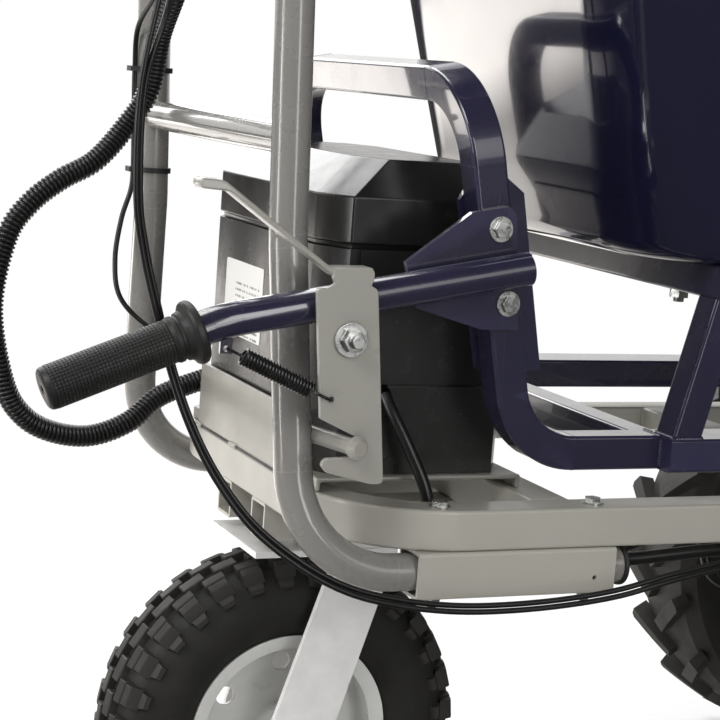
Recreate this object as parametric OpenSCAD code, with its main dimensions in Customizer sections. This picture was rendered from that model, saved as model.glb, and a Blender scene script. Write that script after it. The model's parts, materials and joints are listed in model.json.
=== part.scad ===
// Battery concrete buggy with a front-tipping tub, a latched tipping lever,
// two driven front wheels and one swivelling rear wheel.
// Built about the handlebar posts at chassis height, then moved so that
// the origin is under the middle of the object, on the ground.

/* [Chassis] */
// Height of the chassis top above the ground
rail_top = 440; // [400:1:500]
// How far each chassis rail stands out beyond the hoop's legs
rail_margin = 26; // [22:1:40]
// Side of the square chassis tube
rail_size = 35; // [30:1:40]
// Wall of the square chassis tube
rail_wall = 3; // [2:0.5:4]
// Outer radius of the bent rear corners
corner_r = 115; // [90:1:140]
// Rear face of the chassis, ahead of the handlebar posts
rear_x = 34; // [28:1:45]
// Front end of the chassis rails, ahead of the handlebar posts
front_x = 1040; // [1000:1:1120]

/* [Handlebar] */
// Diameter of the handlebar tube
post_d = 32; // [28:0.5:33]
// Wall of the handlebar tube
post_wall = 2.5; // [1.5:0.5:4]
// How far each upper post stands in from the outside of the hoop's legs
post_inset = 31; // [20:1:38]
// Height of the kink in the posts above the chassis top
kink_z = 215; // [190:1:240]
// Height of the lower cross tube above the chassis top
crossbar_z = 297; // [285:1:330]
// Diameter of the cross tubes
crossbar_d = 27; // [22:0.5:30]
// Height where the posts turn back into handles
handle_z = 560; // [520:1:620]
// Rear end of the handles, behind the posts
handle_back = 320; // [260:1:380]

/* [Battery] */
// Rear face of the battery case, ahead of the posts
box_x = 41; // [40:0.5:46]
// Length of the battery case
box_l = 190; // [170:1:195]
// Gap between the battery case and each leg of the hoop
box_gap = 33; // [30:1:60]
// Height of the lid seam above the chassis top
seam_z = 206; // [180:1:215]
// Height of the lid's upright rim above the chassis top
lid_rim_z = 250; // [235:1:260]
// Height of the lid's flat top above the chassis top
lid_top_z = 282; // [265:1:284]

/* [Tub frame] */
// Width over the hoop legs
hoop_w = 436; // [430:1:440]
// Side of the square hoop tube
hoop_size = 30; // [25:1:32]
// Underside of the tub rails above the chassis top
tub_rail_z = 27; // [22:1:32]
// Centre of the hoop legs at chassis height, ahead of the posts
leg_x = 212; // [205:1:225]
// Backward lean of the hoop legs in degrees
leg_lean = 11.4; // [8:0.1:13]
// Height of the hoop's top tube above the chassis top
hoop_z = 351; // [340:1:380]
// Rear end of the wider main rails, ahead of the posts
main_x = 344; // [335:1:360]
// Underside of the bars below the tub, above the chassis top
tub_bar_z = 180; // [170:1:200]

/* [Tub] */
// Length of the tub's floor
tub_floor_l = 575; // [520:5:600]
// Length of the tub at its rim
tub_rim_l = 920; // [840:5:960]
// Width of the tub's floor
tub_floor_w = 500; // [440:5:520]
// Width of the tub at its rim
tub_rim_w = 650; // [600:5:700]
// Height of the tub's rim above its floor
tub_h = 400; // [360:5:440]
// Thickness of the tub's sheet
tub_t = 3; // [2:0.5:5]

/* [Lever and latch] */
// Diameter of the tipping lever's tube
lever_d = 28; // [25:0.5:30]
// Thickness of the lever's gusset plate
gusset_t = 6; // [5:0.5:8]
// Thickness of the latch plate
latch_t = 5; // [4:0.5:6]
// Diameter of the latch pin on the post
pin_d = 14; // [12:0.5:15]
// Diameter of the latch's pivot bolt
pivot_d = 10; // [8:0.5:12]
// Number of curls in the latch spring
spring_turns = 22; // [16:1:24]

/* [Wheels] */
// Diameter of the front tyres
wheel_d = 500; // [480:5:510]
// Width of the front tyres
wheel_w = 120; // [100:5:130]
// Gap between each front tyre and the head of its hinge pin
tyre_gap = 11.5; // [8:0.5:30]
// Front axle, ahead of the posts
wheel_x = 940; // [900:5:960]
// Diameter of the rear tyre
caster_d = 350; // [330:2:352]
// Width of the rear tyre
caster_w = 88; // [76:1:94]
// Rear wheel's axle, ahead of the posts
caster_x = 86; // [80:1:100]
// Rear wheel's swivel, ahead of the posts
swivel_x = 130; // [125:1:140]

/* [Fits] */
// Radial clearance of a turning fit
fit = 0.05; // [0.02:0.01:0.1]
// Gap between pieces that pass each other
pass_gap = 0.5; // [0.4:0.1:1]

/* [Hidden] */
$fn = 48;

// Places along the chassis, measured from the posts and the chassis top
chassis_w = hoop_w + 2 * rail_margin;
rail_y = (chassis_w - rail_size) / 2;
rail_in = chassis_w / 2 - rail_size;
ground_z = -rail_top;
member_w = 40;
member_xs = [222, 593, front_x - member_w];
bearer_y = 45;
bearer_z = -2 * rail_size;
tube_corner = 3;
inner_corner = 0.8;

// Sockets under the rails that hold the handlebar
socket_size = 40;
socket_wall = 3;
socket_x = 104;
socket_l = 188;
socket_z = -rail_size - socket_size / 2;
socket_bolt_xs = [128, 275];
post_tip_x = socket_x + socket_l + 12;

// Handlebar route, near side; the far side mirrors it
post_half = hoop_w / 2 - post_inset;
post_lean = 0.04;
bend_r = 90;
handle_rise = 40;
socket_corner = [-post_lean * socket_z, -rail_y, socket_z];
kink = [-post_lean * kink_z, -post_half, kink_z];
handle_turn = [-post_lean * handle_z, -post_half, handle_z];
handle_end = [-handle_back, -post_half, handle_z + handle_rise];
post_route = [[post_tip_x, -rail_y, socket_z], socket_corner, kink, handle_turn, handle_end];
console_bar_z = 470;
hand_grip_l = 125;
hand_grip_d = 38;

// Battery
box_w = hoop_w - 2 * (hoop_size + box_gap);
box_half = box_w / 2;
box_floor = 12;
box_wall = 4;
box_corner = [20, 34];
lid_inset = [39, 21];
label_size = [100, 70];

// Tub frame
lean = tan(leg_lean);
hoop_y = (hoop_w - hoop_size) / 2;
hoop_wall = 2.5;
hoop_r = 66;
rail_mid_z = tub_rail_z + hoop_size / 2;
leg_dir = [-sin(leg_lean), 0, cos(leg_lean)];
hoop_foot = [leg_x - lean * rail_mid_z, -hoop_y, rail_mid_z];
hoop_top = [leg_x - lean * hoop_z, -hoop_y, hoop_z];
main_w = 50;
main_wall = 3;
weld_sink = 1.2;
bar_over = 1.5;
main_out = hoop_w / 2 + 18;
main_y = main_out - main_w / 2;
strut_lean = 14;
strut_foot = tub_rail_z + hoop_size;
strut_inset = 1;
strut_x = main_x + hoop_size / 2 + strut_inset;
strut_y = hoop_size / 2 - main_out + strut_inset;
strut_run = (tub_bar_z - strut_foot) * tan(strut_lean);
tub_bar_x = main_x + strut_run + 2;

// Hinge at the front of the chassis
hinge_half = 20;
hinge_x = front_x - hinge_half;
hinge_z = rail_mid_z;
hinge_d = 16;
hinge_lug_t = 6;
hinge_head_t = 5;
hinge_pin_out = main_out + pass_gap + hinge_lug_t + 1;
hinge_pin_l = main_w + 2 * (pass_gap + hinge_lug_t) + hinge_head_t;

// Tub
tub_z = tub_bar_z + hoop_size;
tub_overhang = 70;
tub_rake = 96;
tub_x = tub_bar_x - tub_overhang;
tub_rim_x = tub_x - tub_rake;
tub_floor_r = 110;
tub_rim_r = 150;
tub_fold = 22;
rim_d = 20;
tub_bolt_y = 150;
front_bar_x = tub_x + tub_floor_l - 64;

// Tipping lever
lever_y = -(hoop_w / 2 + gusset_t + lever_d / 2 - 1.5);
lever_wall = 2.5;
lever_tip = [196, lever_y, 205];
lever_bend = [-76, lever_y, 156];
lever_end = [-214, lever_y, 102];
lever_grip_l = 130;
lever_grip_d = 35;
lever_bolt_zs = [234, 172];

// Latch, measured from its pivot
latch_pivot = [20, 146];
latch_in = lever_y - lever_d / 2 - 7;
latch_out = latch_in - latch_t;
latch_slot = [8.5, -86];
slot_r = pin_d / 2 + 1.5;
pin_z = latch_pivot.y + latch_slot.y;
pin_x = latch_pivot.x + latch_slot.x;
pin_root_y = rail_y + (post_half - rail_y) * (pin_z - socket_z) / (kink_z - socket_z) - 5.5;
pin_root = [pin_x - 15, -pin_root_y, pin_z];
pin_tip = [pin_x + 1, latch_out - 4, pin_z];

// Wheels
wheel_z = ground_z + wheel_d / 2;
wheel_y = hinge_pin_out + hinge_head_t + tyre_gap + wheel_w / 2;
rim_r = 127;
rim_share = 0.72;
lug_h = 14;
lug_count = 18;
hub_r = 80;
axle_d = 60;
caster_z = ground_z + caster_d / 2;
caster_rim_r = 88;
caster_bolt_d = 16;
fork_in = 54;
fork_t = 6;
fork_top = -80;
race_r = 54;

// Smaller sizes of the fixed pieces
socket_bolt_d = 8;
cable_exit = 4;
bearer_l = 224;
caster_bolt_xs = [swivel_x - 38, swivel_x + 38];
caster_stud_d = 10;
tray_half = box_half + 10;
tray_l = 195;
tray_t = 4;
retainer_t = 5;
retainer_h = 62;
low_seam_z = 89;
groove_h = 5;
label_y = -8;
label_z = 100;
cell_count = 4;
cell_w = (box_w - 46) / cell_count;
cell_h = 170;
handle_dir = unit(handle_end - handle_turn);
grip_cap_t = 4;

// Controls on the handlebar
console_x = -4;
console_l = 62;
console_w = 190;
console_z = 440;
console_h = 84;
switch_x = console_x - console_l / 2 - 14;
switch_y = 45;
key_d = 20;
perch_l = 24;
perch_t = 16;
perch_at = handle_end - handle_dir * (hand_grip_l + 25);
lever_pivot = [perch_at.x + 12, perch_at.z - 34];
brake_pivot_d = 6;
brake_lever_t = 7;

// Drive
controller_l = 110;
controller_w = 150;
controller_h = 34;
fin_h = 8;
fin_count = 8;
axle_half = rail_y + 5.5;
shaft_d = 30;
shaft_in = 90;
diff_d = 170;
diff_l = 140;
motor_l = 190;
motor_d = 128;
motor_flange = [140, 24];
motor_cap = [96, 12];
motor_x = wheel_x - diff_d / 2 - 0.3;
motor_back = motor_x - motor_l - motor_cap.y;
drum_out = wheel_y - 36;
hub_cap_r = 26;
stud_r = 52;
block_count = 32;
block_h = 9;

// Cross tubes between the main rails, rest pads and the tub's studs
tie_xs = [main_x - 17, 700];
tie_size = 28;
pad_x = 790;
tub_bolt_d = 10;

// Routes of the bent tubes
chassis_route = [[front_x, -rail_y, -rail_size / 2], [rear_x + rail_size / 2, -rail_y, -rail_size / 2],
    [rear_x + rail_size / 2, rail_y, -rail_size / 2], [front_x, rail_y, -rail_size / 2]];
level_sides = [for (i = [0 : 2]) [0, 0, 1]];
hoop_route = [[main_x, -hoop_y, rail_mid_z], hoop_foot, hoop_top, flip(hoop_top), flip(hoop_foot),
    [main_x, hoop_y, rail_mid_z]];
hoop_sides = [[0, 1, 0], [0, 1, 0], leg_dir, [0, 1, 0], [0, 1, 0]];
lever_route = [lever_tip, lever_bend, lever_end];
lever_dir = unit(lever_end - lever_bend);
lever_fore = unit(lever_bend - lever_tip);

// Lever and latch outlines, in X and Z
lever_bolt_d = 8;
lever_bend_r = 120;
leg_mid_z = 203;
gusset_outline = [[81, 204], [138, 247], [172, 253], [179, 247], [189, 150], [154, 150], [93, 167]];
latch_boss_d = 22;
latch_hole = [-12.5, -48];
latch_outline = [[-31, 33], [-20.5, -63.5], [10, -78], [9, -94], [-14, -95.5], [-16.5, -101], [-12, -106.5],
    [27, -117], [34, -116], [38, -110], [21, 34], [17, 40], [17, 51], [-18, 51], [-18, 40], [-25, 40]];
latch_arm_w = 28;
latch_arm = [[17, 51], [-16, 49], [-104, 111], [-136, 114], [-136, 119], [-106, 116.5], [-19, 54], [17, 56]];

// Latch spring
wire_d = 2;
spring_d = 12.6;
spring_pitch = 2.6;
spring_hook = [-74, lever_y, 134];

// The spring is one wire: a hook through the lever's tab, the curls, and a hook through the latch plate
spring_start = spring_hook + [1, -5, 0];
spring_end = [latch_pivot.x + latch_hole.x - 1, latch_in + 9, latch_pivot.y + latch_hole.y];
spring_axis = unit(spring_end - spring_start);
spring_side = unit(cross(spring_axis, [0, 0, 1]));
spring_up = cross(spring_axis, spring_side);
spring_body = spring_turns * spring_pitch;
spring_lead = (norm(spring_end - spring_start) - spring_body) / 2;
curl_r = (spring_d - wire_d) / 2;
curl_points = [for (i = [0 : 8 * spring_turns]) spring_start
    + spring_axis * (spring_lead + spring_pitch * i / 8)
    + curl_r * (cos(45 * i) * spring_side + sin(45 * i) * spring_up)];
spring_path = concat([spring_start + [0, 9, 0], spring_start, spring_start + spring_axis * (spring_lead - 4)],
    curl_points,
    [spring_end - spring_axis * (spring_lead - 4), spring_end, spring_end + [0, -12, 0]]);
spring_gap = min([for (i = [0 : len(curl_points) - 7]) for (j = [i + 6 : min(i + 12, len(curl_points) - 1)])
    norm(curl_points[i] - curl_points[j])]) - wire_d;

// Rear wheel's fork and mount
kingpin_d = 24;
mount_l = 100;
mount_w = 144;
mount_t = 6;
fork_rear = swivel_x - 99;
fork_front = swivel_x + 42;
fork_leg_x = swivel_x - 19;
fork_end_r = 32;

// Cables: their sizes and hand-set routes
lead_d = 11;
lead_route = [[103, 2 - box_half, 82], [108, -164, 66], [121, -177, 36], [134, -189, 0], [145, -190, -55],
    [230, -180, -70], [340, -130, -76], [460, -40, -84], [560, 30, -100],
    [motor_back - 70, 28, wheel_z + 44], [motor_back - 24, 24, wheel_z + 24],
    [motor_back - 0.3, 24, wheel_z + 24]];
brake_cable_d = 5;
brake_cable_gap = brake_cable_d + 0.6;
brake_cable_turn = 40;
brake_run = [[-145, -206, 330], [-144, -206, 250], [-136, -206, 204], [-124, -208, 160], [-110, -214, 110],
    [-94, -224, 66], [-74, -238, 27], [-46, -252, -9], [-5, -262, -40], [35, -266, -60], [80, -266, -72],
    [126, -265, -79], [173, -265, -81], [230, -265, -79], [288, -264, -73], [347, -262, -61],
    [420, -254, -52]];
brake_route_near = concat([[lever_pivot.x + 13.9, -post_half, lever_pivot.y], [-124, -188, 543],
    [-116, -198, 490], [-132, -204, 410]], brake_run,
    [[500, -238, -52], [600, -222, -60], [760, -200, -100], [850, -192, -134],
    [wheel_x - 60, -axle_half + 22, wheel_z + 40], [wheel_x - 60, -axle_half + 0.4, wheel_z + 40]]);
brake_route_far = concat([[console_x - console_l / 2, -console_w / 2 - 0.3, 480],
    [console_x - console_l / 2 - 4, -console_w / 2 - 16, 478],
    [-104, -172, 430], [-128, -200, 380]], beside(brake_run, brake_cable_gap, brake_cable_turn),
    [[500, -232, -45], [600, -210, -52], [700, -155, -66], [790, -60, -80], [830, 90, -86], [860, 186, -128],
    [wheel_x - 60, axle_half - 22, wheel_z + 40], [wheel_x - 60, axle_half - 0.4, wheel_z + 40]]);
drive_cable_d = 12;
drive_route = [[post_tip_x - 20, -rail_y, socket_z + cable_exit],
    [post_tip_x + 20, -rail_y, socket_z + cable_exit], [410, -rail_y, -46], [520, -214, -50],
    [640, -160, -70], [700, -90, -106], [740, -44, wheel_z + 56]];
throttle_cable_d = 5;
tie_reach = post_d / 2 + throttle_cable_d / 2 + 0.5;
throttle_route = [[-30, 80, console_z - 3], [-36, 120, 410], [-36, 172, 380],
    [-post_lean * 340 - tie_reach, post_half, 340], [-post_lean * 290 - tie_reach, post_half, 290],
    [-post_lean * 243 - tie_reach, post_half, 243], [-30, post_half, 222], [-38, 186, 194], [-44, 180, 154],
    [-40, 168, 118], [-14, 150, 92], [20, 138, 84], [box_x + 8, 131, 83]];
tie_zs = [243, 340];
conduit_d = 21;
conduit_bore = 14;
conduit_rib_h = 2;
conduit_ribs = 160;
conduit_route = [[-36, 60, console_z - 0.5], [-36, 60, console_z - 24], [-39, 92, 372], [-40, 114, 322],
    [-58, 118, 288], [-88, 112, 254], [-121, 108, 235], [-150, 104, 212], [-171, 100, 180],
    [-182, 98, 115], [-168, 100, 47], [-147, 105, 14],
    [-116, 110, -3], [-77, 116, -8], [-38, 123, 4], [-4, 135, 27], [box_x + 13, 144, 46]];

// The box around the whole object sets where the origin lies
object_front = max(tub_rim_x + tub_rim_l + rim_d, wheel_x + wheel_d / 2);
object_rear = handle_end.x + handle_dir.x * grip_cap_t - handle_dir.z * hand_grip_d / 2;
object_mid = (object_front + object_rear) / 2;

// Vectors and placing

function unit(v) = v / norm(v);
function flip(p) = [p.x, -p.y, p.z];
function setback(p, i, r) =
    r * tan(acos(unit(p[i] - p[i - 1]) * unit(p[i + 1] - p[i])) / 2);
function stretched(p, e) = [for (i = [0 : len(p) - 1])
    i == 0 ? p[0] - unit(p[1] - p[0]) * e
    : i == len(p) - 1 ? p[i] + unit(p[i] - p[i - 1]) * e
    : p[i]];
function round_side(w) = abs(w.z) < 0.9 ? [0, 0, 1] : [1, 0, 0];

// Moves the whole object to its origin
module placed() translate([-object_mid, 0, rail_top]) children();

// Both sides of the object
module both_sides() {
    children();
    mirror([0, 1, 0]) children();
}

// Puts local Z along the line from a to b, with local X near the given side
module along(a, b, side) {
    w = unit(b - a);
    u = unit(side - (side * w) * w);
    v = cross(w, u);
    multmatrix([[u.x, v.x, w.x, a.x], [u.y, v.y, w.y, a.y], [u.z, v.z, w.z, a.z], [0, 0, 0, 1]])
        children();
}

// One bend of a bar, from direction u into direction v about the corner p
module bend_at(p, u, v, r) {
    turn = acos(u * v);
    m = unit(v - (u * v) * u);
    n = cross(-m, u);
    c = p - u * r * tan(turn / 2) + m * r;
    multmatrix([[-m.x, u.x, n.x, c.x], [-m.y, u.y, n.y, c.y], [-m.z, u.z, n.z, c.z], [0, 0, 0, 1]])
        rotate_extrude(angle = turn) translate([r, 0]) children();
}

// A bar with the child's section, bent to radius r at each inner point.
// Where seams is true, a slightly larger ring joins each bend to its straights.
module bent_bar(p, r, sides, seams = true) {
    last = len(p) - 1;
    for (i = [0 : last - 1]) {
        u = unit(p[i + 1] - p[i]);
        side = sides == undef ? round_side(u) : sides[i];
        from = i == 0 ? 0 : setback(p, i, r);
        to = i == last - 1 ? 0 : setback(p, i + 1, r);
        along(p[i] + u * from, p[i + 1], side) linear_extrude(norm(p[i + 1] - p[i]) - from - to) children();
        if (seams && i > 0) along(p[i] + u * from, p[i + 1], side) seam_ring() children();
        if (seams && i < last - 1) along(p[i + 1] - u * to, p[i + 1], side) seam_ring() children();
    }
    if (last > 1)
        for (i = [1 : last - 1])
            bend_at(p[i], unit(p[i] - p[i - 1]), unit(p[i + 1] - p[i]), r) children();
}

module seam_ring() scale(1.01) translate([0, 0, -0.5]) linear_extrude(1) children();

// A box section with rounded corners
module box_section(w, h, r) {
    square([w, h - 2 * r], center = true);
    square([w - 2 * r, h], center = true);
    for (x = [-1, 1])
        for (y = [-1, 1])
            translate([x * (w / 2 - r), y * (h / 2 - r)]) circle(r = r, $fn = 24);
}

// A straight box tube along local Z, centred on it
module box_tube(l, w, h, t) difference() {
    linear_extrude(l) box_section(w, h, tube_corner);
    translate([0, 0, -1]) linear_extrude(l + 2) box_section(w - 2 * t, h - 2 * t, inner_corner);
}

// A box tube along X, from x and with its underside at z
module box_tube_x(x, y, z, l, w, h, t)
    translate([x, y, z + h / 2]) rotate([90, 0, 90]) box_tube(l, w, h, t);

// A box tube along Y, as long on both sides of the middle, from x and with its underside at z
module box_tube_y(x, z, half, w, h, t)
    translate([x + w / 2, -half, z + h / 2]) rotate([-90, 0, 0]) box_tube(2 * half, w, h, t);

// A plate standing in the XZ plane, from y inwards by t
module side_plate(y, t) translate([0, y + t, 0]) rotate([90, 0, 0]) linear_extrude(t) children();

// A round bar along Y
module bar_y(x, y, z, d, l) translate([x, y, z]) rotate([-90, 0, 0]) cylinder(d = d, h = l);

// A hexagon bolt that points down local Z from its head at the origin
module hex_bolt(d, l, flange) {
    cylinder(d = 1.65 * d * 1.15, h = 0.65 * d, $fn = 6);
    if (flange > 0) cylinder(d = flange, h = 1.6);
    translate([0, 0, -l]) cylinder(d = d, h = l + 1);
}

// A hexagon nut that stands on local Z
module hex_nut(d) cylinder(d = 1.65 * d * 1.15, h = 0.8 * d, $fn = 6);

// Swept cables

function spline(a, b, c, d, t) = 0.5 * (2 * b + (c - a) * t + (2 * a - 5 * b + 4 * c - d) * t * t
    + (3 * b - a - 3 * c + d) * t * t * t);
function smooth(p, n) = [for (i = [0 : len(p) - 2]) for (k = [0 : n - 1])
    spline(p[max(i - 1, 0)], p[i], p[i + 1], p[min(i + 2, len(p) - 1)], k / n), p[len(p) - 1]];
function beside(p, gap, turn) = [for (i = [0 : len(p) - 1])
    let (w = heading(p, i), up = unit([-w.z, 0, w.x]))
        p[i] + gap * (cos(turn) * up - sin(turn) * cross(w, up))];
function heading(p, i) = unit(p[min(i + 1, len(p) - 1)] - p[max(i - 1, 0)]);
function carried(s, w) = unit(s - (s * w) * w);
function frames(p, i = 0, s = [0.31, 0.89, 0.33], out = []) = i == len(p) ? out
    : let (w = heading(p, i), u = carried(s, w))
        frames(p, i + 1, u, concat(out, [[u, cross(w, u)]]));
function ring(c, f, r, n) = [for (k = [0 : n - 1])
    c + r * (cos(360 * k / n) * f[0] + sin(360 * k / n) * f[1])];
function skin(rings, n, flipped = false) = [for (i = [0 : rings - 2]) for (k = [0 : n - 1])
    let (a = i * n + k, b = i * n + (k + 1) % n, c = a + n, d = b + n)
    each flipped ? [[a, b, d], [a, d, c]] : [[a, d, b], [a, c, d]]];
function cap(base, n, flipped) = [for (k = [1 : n - 2])
    flipped ? [base, base + k + 1, base + k] : [base, base + k, base + k + 1]];

// A solid cable through the points of a route
module cable(p, d, n) {
    f = frames(p);
    points = [for (i = [0 : len(p) - 1]) each ring(p[i], f[i], d / 2, n)];
    polyhedron(points, concat(skin(len(p), n), cap(0, n, false), cap((len(p) - 1) * n, n, true)));
}

// Chassis

function battery_outline(x, l, half, c) = [[x + c.x, -half], [x + l - c.x, -half], [x + l, c.y - half],
    [x + l, half - c.y], [x + l - c.x, half], [x + c.x, half], [x, half - c.y], [x, c.y - half]];

module chassis_frame() color("#96938b") placed() difference() {
    bent_bar(chassis_route, corner_r - rail_size / 2, level_sides, false)
        box_section(rail_size, rail_size, tube_corner);
    bent_bar(stretched(chassis_route, 1), corner_r - rail_size / 2, level_sides, false)
        box_section(rail_size - 2 * rail_wall, rail_size - 2 * rail_wall, inner_corner);
    both_sides()
        for (x = socket_bolt_xs)
            translate([x, -rail_y, -rail_size - 1]) cylinder(d = socket_bolt_d + 0.4, h = rail_size + 2);
}

module crossmembers() color("#96938b") placed() {
    for (x = member_xs) box_tube_y(x, -rail_size, rail_in, member_w, rail_size, rail_wall);
    both_sides() difference() {
        box_tube_x(rear_x + 2, -bearer_y, bearer_z, bearer_l, rail_size, rail_size, rail_wall);
        for (x = caster_bolt_xs)
            translate([x, -bearer_y, bearer_z - 1]) cylinder(d = caster_stud_d + 0.4, h = rail_wall + 2);
    }
}

module battery_tray() color("#96938b") placed() difference() {
    translate([box_x, -tray_half, 0]) cube([tray_l, 2 * tray_half, box_floor]);
    translate([box_x + tray_t, -tray_half - 1, -1])
        cube([tray_l - 2 * tray_t, 2 * tray_half + 2, box_floor - tray_t + 1]);
    for (side = [-1, 1])
        translate([box_x + 40, side * (tray_half - 12) - 4, 0]) cube([tray_l - 80, 8, box_floor + 1]);
}

module battery_retainer() color("#96938b") placed()
    translate([rear_x, corner_r - chassis_w / 2, 0]) cube([retainer_t, chassis_w - 2 * corner_r, retainer_h]);

module handlebar_sockets() color("#96938b") placed() both_sides() difference() {
    box_tube_x(socket_x, -rail_y, -rail_size - socket_size, socket_l, socket_size, socket_size, socket_wall);
    for (x = socket_bolt_xs)
        translate([x, -rail_y, -rail_size - socket_size - 1])
            cylinder(d = socket_bolt_d + 0.4, h = socket_size + 2);
    bar_y(socket_x + socket_l - 20, -rail_y - socket_size, socket_z - 6, 4, socket_size);
}

module socket_bolts() color("#c9ccd0") placed() both_sides() for (x = socket_bolt_xs) {
    translate([x, -rail_y, 0]) hex_bolt(socket_bolt_d, rail_size + socket_size + 12, 2.3 * socket_bolt_d);
    translate([x, -rail_y, -rail_size - socket_size - 0.8 * socket_bolt_d]) hex_nut(socket_bolt_d);
}

module socket_caps() color("#1b1b1c") placed() both_sides() difference() {
    translate([post_tip_x, -rail_y, socket_z]) rotate([0, 90, 0]) cylinder(d = post_d + 5, h = 4);
    translate([post_tip_x - 1, -rail_y, socket_z + cable_exit]) rotate([0, 90, 0])
        cylinder(d = drive_cable_d + 0.6, h = 6);
}

module handlebar_frame() color("#a5a29a") placed() difference() {
    union() {
        both_sides() bent_bar(post_route, bend_r) circle(d = post_d);
        for (z = [crossbar_z, console_bar_z])
            bar_y(-post_lean * z, -post_half, z, crossbar_d, 2 * post_half);
    }
    both_sides() bent_bar(stretched(post_route, 1), bend_r) circle(d = post_d - 2 * post_wall);
    for (z = [crossbar_z, console_bar_z])
        bar_y(-post_lean * z, -post_half, z, crossbar_d - 2 * post_wall, 2 * post_half);
    both_sides()
        for (x = socket_bolt_xs)
            translate([x, -rail_y, socket_z - post_d]) cylinder(d = socket_bolt_d + 0.4, h = 2 * post_d);
}

module handlebar_grips() color("#1d1d1e") placed() both_sides() difference() {
    along(handle_end + handle_dir * grip_cap_t, handle_turn, [0, 0, 1])
        cylinder(d = hand_grip_d, h = hand_grip_l + grip_cap_t);
    along(handle_end, handle_turn, [0, 0, 1]) cylinder(d = post_d, h = hand_grip_l + grip_cap_t + 1);
}

module latch_pin() color("#a5a29a") placed() difference() {
    along(pin_root, pin_tip, [0, 0, 1]) {
        cylinder(d = pin_d, h = norm(pin_tip - pin_root));
        translate([0, 0, norm(pin_tip - pin_root)]) cylinder(d = pin_d + 5, h = 4);
        translate([0, 0, norm(pin_tip - pin_root) + 4]) cylinder(d1 = pin_d + 5, d2 = pin_d - 2, h = 3);
    }
    bent_bar(post_route, bend_r) circle(d = post_d);
}

// Battery

module battery_case() color("#232325") placed() difference() {
    translate([0, 0, box_floor]) linear_extrude(seam_z - box_floor)
        polygon(battery_outline(box_x, box_l, box_half, box_corner));
    translate([0, 0, box_floor + box_wall]) linear_extrude(seam_z)
        polygon(battery_outline(box_x + box_wall, box_l - 2 * box_wall, box_half - box_wall, box_corner));
    translate([box_x + 46, -box_half - 1, low_seam_z]) cube([box_l - 66, 3, 2]);
    translate([box_x + box_corner.x + 6, -box_half - 1, low_seam_z + 12])
        cube([4, 3, seam_z - low_seam_z]);
    case_port(conduit_route, conduit_d + 1);
    case_port(throttle_route, throttle_cable_d + 0.6);
    case_port([lead_route[1], lead_route[0]], lead_d + 1);
}

// A round hole where the last stretch of a route enters the case
module case_port(route, d) {
    last = len(route) - 1;
    way = unit(route[last] - route[last - 1]);
    along(route[last] - way * 12, route[last], [0, 0, 1]) cylinder(d = d, h = 30);
}

module battery_lid() color("#2a2a2c") placed() difference() {
    union() {
        translate([0, 0, seam_z]) linear_extrude(groove_h)
            polygon(battery_outline(box_x + 3, box_l - 6, box_half - 3, box_corner));
        translate([0, 0, seam_z + groove_h]) linear_extrude(lid_rim_z - seam_z - groove_h)
            polygon(battery_outline(box_x, box_l, box_half, box_corner));
        lid_crown(0, lid_top_z);
    }
    translate([0, 0, seam_z - 1]) linear_extrude(lid_rim_z - seam_z + 1)
        polygon(battery_outline(box_x + 8, box_l - 16, box_half - 8, box_corner));
    lid_crown(8, lid_top_z - 4);
}

module lid_crown(inset, top) hull() {
    translate([0, 0, lid_rim_z]) linear_extrude(0.01)
        polygon(battery_outline(box_x + inset, box_l - 2 * inset, box_half - inset, box_corner));
    translate([0, 0, top - 0.01]) linear_extrude(0.01)
        polygon(battery_outline(box_x + lid_inset.x + inset, box_l - 2 * (lid_inset.x + inset),
            box_half - lid_inset.y - inset, box_corner));
}

module battery_label() color("#e9e8e4") placed()
    translate([box_x - 0.6, label_y, label_z]) cube([0.6, label_size.x, label_size.y]);

module battery_cells() color("#5c6670") placed() for (i = [0 : cell_count - 1])
    translate([box_x + 28, -cell_count * cell_w / 2 + i * cell_w + 1, box_floor + box_wall])
        cube([box_l - 56, cell_w - 2, cell_h]);

// Cables

module battery_lead() color("#161617") placed() cable(smooth(lead_route, 6), lead_d, 8);

module brake_cables() color("#18181a") placed() for (route = [brake_route_near, brake_route_far])
    cable(smooth(route, 3), brake_cable_d, 8);

module drive_cable() color("#131314") placed() cable(smooth(drive_route, 5), drive_cable_d, 8);

module throttle_cable() color("#131314") placed() cable(smooth(throttle_route, 4), throttle_cable_d, 8);

// The ribbed conduit has a bore, and two rings for each rib
module cable_conduit() color("#171718") placed() {
    p = smooth(conduit_route, conduit_ribs / (len(conduit_route) - 1));
    f = frames(p);
    n = 8;
    outer = [for (i = [0 : len(p) - 2]) each [
        each ring(p[i], f[i], conduit_d / 2 - conduit_rib_h, n),
        each ring((p[i] + p[i + 1]) / 2, f[i], conduit_d / 2, n)]];
    outer_rings = 2 * (len(p) - 1);
    bore_step = 3;
    bore_at = [for (i = [0 : bore_step : len(p) - 2]) i];
    inner = [for (i = bore_at) each ring(p[i], f[i], conduit_bore / 2, n)];
    first = len(outer);
    inner_rings = len(bore_at) + 1;
    tail = ring((p[len(p) - 2] + p[len(p) - 1]) / 2, f[len(p) - 2], conduit_bore / 2, n);
    end_out = first - n;
    end_in = first + (inner_rings - 1) * n;
    rim = [for (k = [0 : n - 1]) let (j = (k + 1) % n)
        each [[k, j, first + j], [k, first + j, first + k],
            [end_out + k, end_in + j, end_out + j], [end_out + k, end_in + k, end_in + j]]];
    polyhedron(concat(outer, inner, tail), concat(skin(outer_rings, n),
        [for (t = skin(inner_rings, n, true)) t + [first, first, first]], rim));
}

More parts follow.
